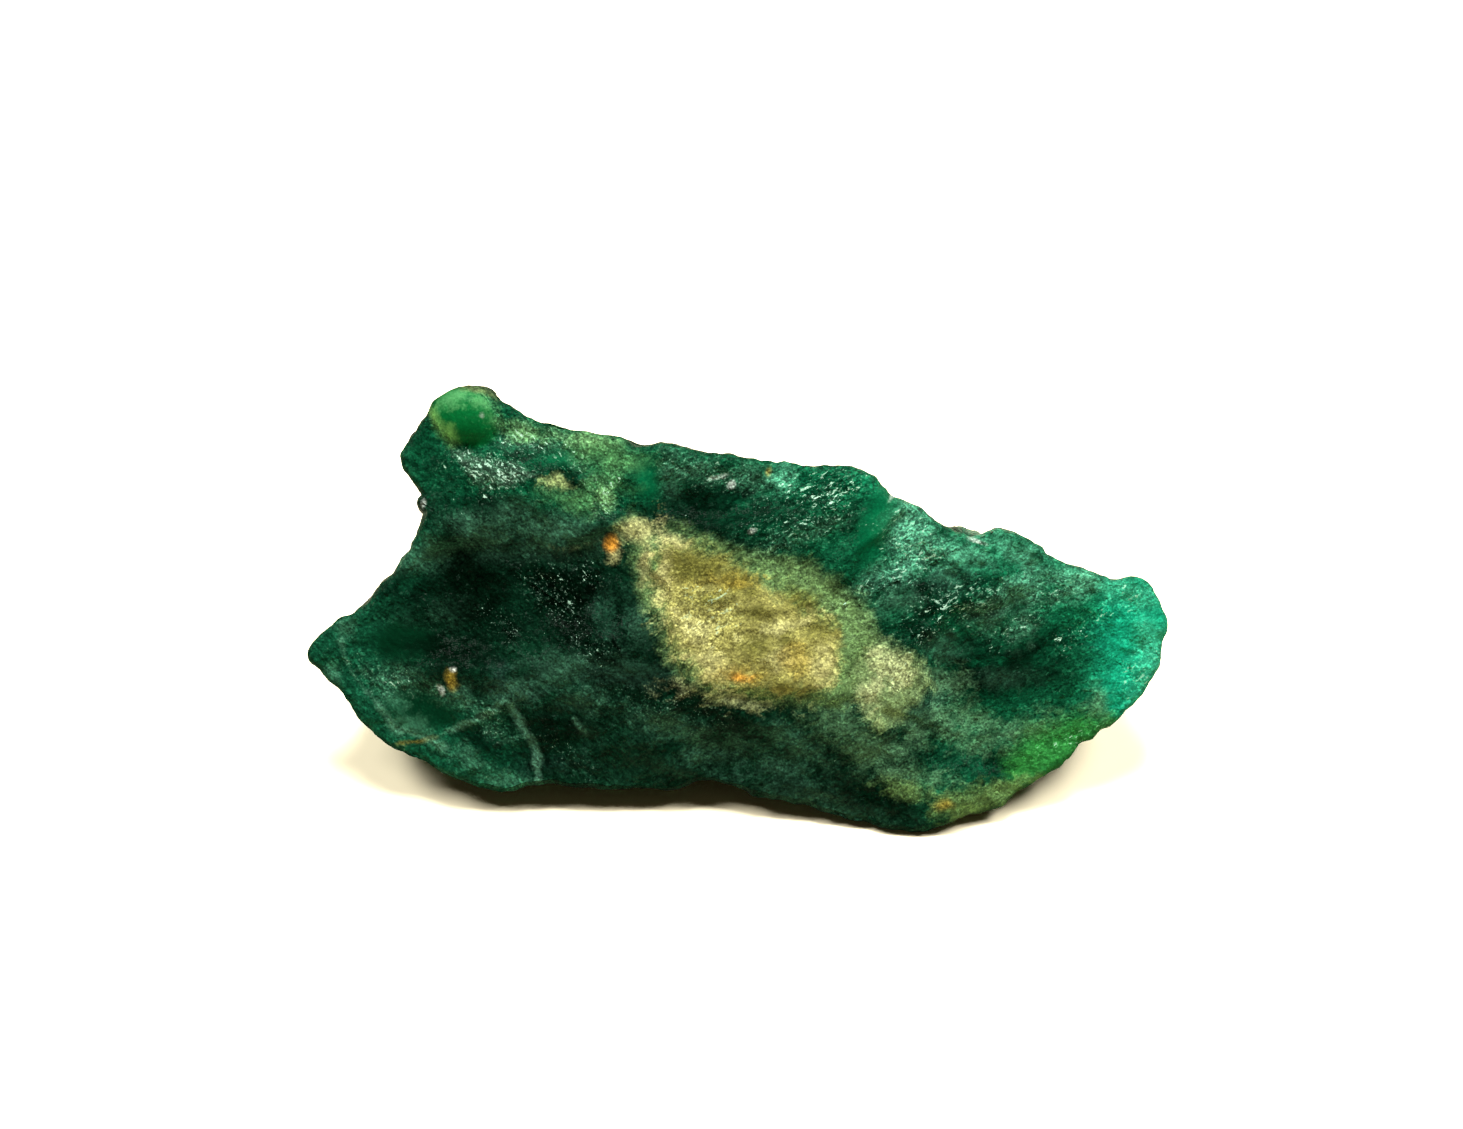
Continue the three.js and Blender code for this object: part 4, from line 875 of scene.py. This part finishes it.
# how far inside a mark's spots, areas or lines each point lies, in millimetres: below 0 it is outside
def insideMark(u, v, mark):
    inside = np.full(len(u), finish["farOutside"])
    for middle, radii, turn in mark.get("spots", []):
        along, across = withinEllipse(u, v, middle, radii, turn)
        inside = np.maximum(inside, (1 - np.hypot(along, across)) * min(radii))
    for corners in mark.get("areas", []):
        within = np.zeros(len(u), bool)
        nearest = np.full(len(u), np.inf)
        for start, end in zip(corners, corners[1:] + corners[:1]):
            nearest = np.minimum(nearest, offSegment(u, v, start, end))
            crosses = (start[1] > v) != (end[1] > v)
            lean = (end[0] - start[0]) / (end[1] - start[1]) if end[1] != start[1] else 0
            within ^= crosses & (u < start[0] + (v - start[1]) * lean)
        inside = np.maximum(inside, np.where(within, nearest, -nearest))
    for halfWidth, corners in mark.get("lines", []):
        for start, end in zip(corners, corners[1:]):
            inside = np.maximum(inside, halfWidth - offSegment(u, v, start, end))
    return inside


# the distance to the nearest point of a straight line between two corners
def offSegment(u, v, start, end):
    du, dv = end[0] - start[0], end[1] - start[1]
    share = np.clip(((u - start[0]) * du + (v - start[1]) * dv) / (du * du + dv * dv), 0, 1)
    return np.hypot(u - start[0] - share * du, v - start[1] - share * dv)


# each mark becomes a named attribute of the mesh, drawn in where the wall turns to the back
def layMarks(mesh, points, wildness, nearRim):
    u, v = points[:, 0], points[:, 1]
    flat = np.stack([u, v, 0 * u], axis=-1)
    for size, reach, salt in finish["strays"]:
        u = u + reach * chips(flat, size, salt)
        v = v + reach * chips(flat, size, salt + 1)
    behind = np.clip((wildness - 0.5) / 0.5, 0, 1)
    values = {name: insideMark(u, v, mark) - finish["backFade"] * behind for name, mark in marks.items()}
    values |= {"behind": behind, "nearRim": nearRim}
    for name, value in values.items():
        attribute = mesh.attributes.new(name, "FLOAT", "POINT")
        attribute.data.foreach_set("value", value.astype(np.float32))


# Object coordinates to the face's frame, in millimetres: scaled, turned back by the lean, shifted
def facePlace(tree):
    toFace = np.array([[1, 0, 0], [0, sinLean, cosLean], [0, -cosLean, sinLean]])
    shift = -toFace @ (originShift + [0, 0, slab["heartHeight"]])
    place = tree.add("ShaderNodeTexCoord", {}, {}, "Object")
    return tree.add("ShaderNodeMapping", {"vector_type": "POINT"}, {
        "Vector": place, "Location": shift, "Rotation": (slab["lean"] - math.pi / 2, 0, 0),
        "Scale": (1 / millimetre,) * 3})


# what the colour and the bump share: clouds, mottle, dust, a number for each small and medium crystal,
# the small ones as tilted flats, and fine streaks that change their direction between bowl and rest
def stonePattern(tree):
    middle = (0.5, 0.5, 0.5)
    onFace = facePlace(tree)
    mottle = tree.noise(onFace, *finish["mottle"])
    wobble = tree.vectorMath("SUBTRACT", mottle.also("Color"), middle)
    strayed = tree.vectorMath("MULTIPLY_ADD", wobble, middle, onFace)
    grained = tree.stretched(strayed, finish["mediumTurn"], finish["mediumStretch"])
    small = tree.crystals(strayed, finish["smallCrystal"])
    medium = tree.crystals(grained, finish["mediumCrystal"])
    falling, rising = (
        tree.noise(tree.stretched(strayed, turn, finish["streakStretch"]), *finish["streaks"])
        for turn in finish["streakTurns"])
    across = tree.add("ShaderNodeSeparateXYZ", {}, {"Vector": onFace}, "X")
    lean = tree.vectorMath("SUBTRACT", small, middle)
    within = tree.vectorMath("SUBTRACT", strayed, small.also("Position"))
    flats = tree.vectorMath("DOT_PRODUCT", within, lean, output="Value")
    return SimpleNamespace(
        clouds=tree.noise(onFace, *finish["clouds"]),
        mottle=mottle,
        dust=tree.noise(onFace, *finish["dust"]),
        smallNumber=tree.number(small),
        mediumNumber=tree.number(medium),
        flats=flats,
        streaks=falling + (rising - falling) * tree.ramp(across, *finish["streaksTurnBetween"]))


# dark green clouds with a mottled haze, larger pale clouds on the back, and the marks one over another
def bodyColour(tree, pattern):
    low, high, strength = finish["haze"]
    haze = tree.ramp(pattern.mottle, low, high) * strength
    darkClouds = tree.ramp(pattern.clouds, *finish["darkClouds"])
    base = tree.blend(darkClouds, colours["sombre"], colours["bottle"])
    base = tree.blend(haze, base, colours["haze"])
    low, high, strength = finish["backClouds"]
    paleClouds = tree.ramp(pattern.clouds + (pattern.mottle - 0.5) * finish["backCloudMottle"], low, high)
    base = tree.blend(paleClouds * tree.attribute("behind") * strength, base, colours["frostDark"])
    byMottle, byCrystal, byDust = finish["raggedness"]
    raggedness = (pattern.mottle - 0.5) * byMottle + (pattern.mediumNumber - 0.5) * byCrystal
    raggedness = raggedness + (pattern.dust - 0.5) * byDust
    masks = {}
    for name, mark in marks.items():
        inside = tree.attribute(name) + raggedness * mark["ragged"]
        masks[name] = tree.ramp(inside, -mark["soft"], mark["soft"]) * mark["strength"]
        if "colour" in mark:
            base = tree.blend(masks[name], base, colours[mark["colour"]])
    return base, masks


# the strongest of several marks' masks, each times its share
def strongest(masks, shares):
    scaled = [masks[name] * share for name, share in shares.items()]
    most = scaled[0]
    for mask in scaled[1:]:
        most = most.most(mask)
    return most


# a grain of crystals, most of them a little darker or lighter, and painted glints, pale highlights, in the
# sugary zones
def addCrystals(tree, pattern, base, masks):
    grain, glints = finish["grain"], finish["glints"]
    glassy = strongest(masks, finish["glassyMarks"])
    pale = masks["patch"].most(masks["secondPatch"])
    zone = masks["sugar"] + masks["glitter"] * finish["glitter"]
    zone = zone.most(strongest(masks, finish["streakyMarks"]))

    streakShare = grain["streaks"] - grain["lessStreaksOnPale"] * pale
    lightness = (pattern.smallNumber - 0.5) * grain["crystals"] + (pattern.streaks - 0.5) * streakShare
    lightness = lightness + (pattern.dust - 0.5) * grain["dust"]
    lightness = lightness + (pattern.mottle - 0.5) * pale * grain["mottleOnPale"]
    lightness = lightness * (grain["contrast"] + grain["sugaryContrast"] * zone) + grain["middle"]
    shade = tree.add("ShaderNodeValToRGB", {"stops": grain["stops"]}, {"Fac": lightness})
    base = tree.blend(grain["strength"] - glassy * grain["lessOnGlassy"], base, shade, "OVERLAY")

    lines = tree.ramp(pattern.streaks + (zone - 1) * glints["fewerOutside"], *glints["streaks"])
    lines = lines * (glints["least"] + (1 - glints["least"]) * pattern.mediumNumber)
    dots = tree.ramp(pattern.dust, *glints["dust"]) * glints["dustStrength"] * zone
    fewer = (1 - glassy * glints["lessOnGlassy"]) * (1 - pale * glints["lessOnPale"])
    return tree.blend(lines.most(dots) * fewer, base, colours["paintedGlint"])


# flat crystals, each tilted its own way, a few of them steeply enough to flash; glassy ground is calmer
def crystalBump(tree, pattern):
    bump = finish["bump"]
    glassy = tree.attribute("glassy").most(tree.attribute("ovals")).most(tree.attribute("knob"))
    calm = tree.ramp(glassy, -bump["glassyBorder"], bump["glassyBorder"])
    steep = 1 + tree.ramp(pattern.smallNumber, *bump["steepest"]) * bump["steeper"]
    height = pattern.flats * bump["tilt"] * steep + (pattern.mottle - 0.5) * bump["mottle"]
    return tree.add("ShaderNodeBump", {}, {
        "Strength": 1.0, "Distance": millimetre, "Height": height * (1 - calm * bump["lessOnGlassy"])})


def stoneMaterial():
    tree = ShaderTree("grandidierite")
    pattern = stonePattern(tree)
    base, masks = bodyColour(tree, pattern)
    base = addCrystals(tree, pattern, base, masks)
    rim = tree.attribute("nearRim")
    base = tree.blend(rim * finish["darkRim"], base, colours["deep"])
    rough = finish["roughness"]
    roughness = rough["least"] + rough["mottle"] * pattern.mottle + rough["patch"] * masks["patch"]
    surface = tree.add("ShaderNodeBsdfPrincipled", {}, {
        "Base Color": base, "Roughness": roughness + rough["rim"] * rim,
        "Normal": crystalBump(tree, pattern), "IOR": finish["ior"],
        "Specular IOR Level": finish["specular"], "Specular Tint": (*finish["specularTint"], 1)})
    tree.add("ShaderNodeOutputMaterial", {}, {"Surface": surface})
    return tree.material


stone, originShift = makeStone()
stone.data.materials.append(stoneMaterial())
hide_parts("grandidierite_stone")
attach(stone, "root")
print("stone finished")


studio = {
    "floorSize": 3.0,  # metres
    "floorColour": (0.92, 0.83, 0.59),
    "floorRoughness": 0.6,
    "floorShine": 0.2,
    "sky": 0.045,
    "skyColour": (1.0, 0.85, 0.5),
    "pictureSize": (1463, 1129),
    "pixel": 0.0465,  # millimetres on the face for each pixel of the picture
    "facePixel": (745.5, 615.5),  # where the face's origin lies in the picture
    "distance": 180.0,  # millimetres from the face to the camera
    "sensor": 36.0,  # millimetres, as the lens
    "nearest": 0.01,  # nothing closer to the camera than this, in metres, is drawn
    # each lamp: place in metres, size, power in watts
    "lamps": [
        ((0.0, 0.15, 0.35), 0.14, 3.4),
        ((0.25, 0.09, 0.29), 0.13, 2.1),
        ((-0.25, 0.09, 0.29), 0.13, 1.9),
        ((0.22, 0.26, 0.16), 0.12, 0.8),
    ],
    "lampColour": (1.0, 0.99, 0.97),
    "lampsAimAt": (0, 0, 0.006),
}


def makeFloor():
    half = studio["floorSize"] / 2
    mesh = bpy.data.meshes.new("floor")
    corners = [(-half, -half, 0), (half, -half, 0), (half, half, 0), (-half, half, 0)]
    mesh.from_pydata(corners, [], [(0, 1, 2, 3)])
    floor = bpy.data.objects.new("floor", mesh)
    bpy.context.scene.collection.objects.link(floor)
    tree = ShaderTree("pale_table")
    surface = tree.add("ShaderNodeBsdfPrincipled", {}, {
        "Base Color": (*studio["floorColour"], 1), "Roughness": studio["floorRoughness"],
        "Specular IOR Level": studio["floorShine"]})
    tree.add("ShaderNodeOutputMaterial", {}, {"Surface": surface})
    mesh.materials.append(tree.material)


# a dim warm sky, and square lamps that all face the stone
def makeLight():
    world = bpy.data.worlds.new("studio")
    world.use_nodes = True
    sky = world.node_tree.nodes["Background"]
    sky.inputs["Color"].default_value = (*studio["skyColour"], 1)
    sky.inputs["Strength"].default_value = studio["sky"]
    bpy.context.scene.world = world
    for number, (place, size, power) in enumerate(studio["lamps"], 1):
        lamp = bpy.data.lights.new(f"softbox_{number}", "AREA")
        lamp.size = size
        lamp.energy = power
        lamp.color = studio["lampColour"]
        holder = bpy.data.objects.new(lamp.name, lamp)
        holder.location = place
        holder.rotation_mode = "QUATERNION"
        backwards = Vector(place) - Vector(studio["lampsAimAt"])
        holder.rotation_quaternion = backwards.to_track_quat("Z", "Y")
        bpy.context.scene.collection.objects.link(holder)


# looks squarely at the face: the picture's middle is over a point of the face's plane
def makeCamera():
    width, height = studio["pictureSize"]
    acrossPixel, downPixel = studio["facePixel"]
    u = (width / 2 - acrossPixel) * studio["pixel"]
    v = (downPixel - height / 2) * studio["pixel"]
    eye = (faceToPart([u, v, studio["distance"]]) + originShift) * millimetre
    lens = bpy.data.cameras.new("camera")
    lens.sensor_width = studio["sensor"]
    lens.lens = studio["sensor"] * studio["distance"] / (width * studio["pixel"])
    lens.clip_start = studio["nearest"]
    camera = bpy.data.objects.new("camera", lens)
    camera.location = eye
    camera.rotation_mode = "QUATERNION"
    camera.rotation_quaternion = Vector((0, -cosLean, sinLean)).to_track_quat("Z", "Y")
    bpy.context.scene.collection.objects.link(camera)
    bpy.context.scene.camera = camera


makeFloor()
makeLight()
makeCamera()
bpy.context.scene.view_settings.view_transform = "Standard"
print("floor, light and camera placed")
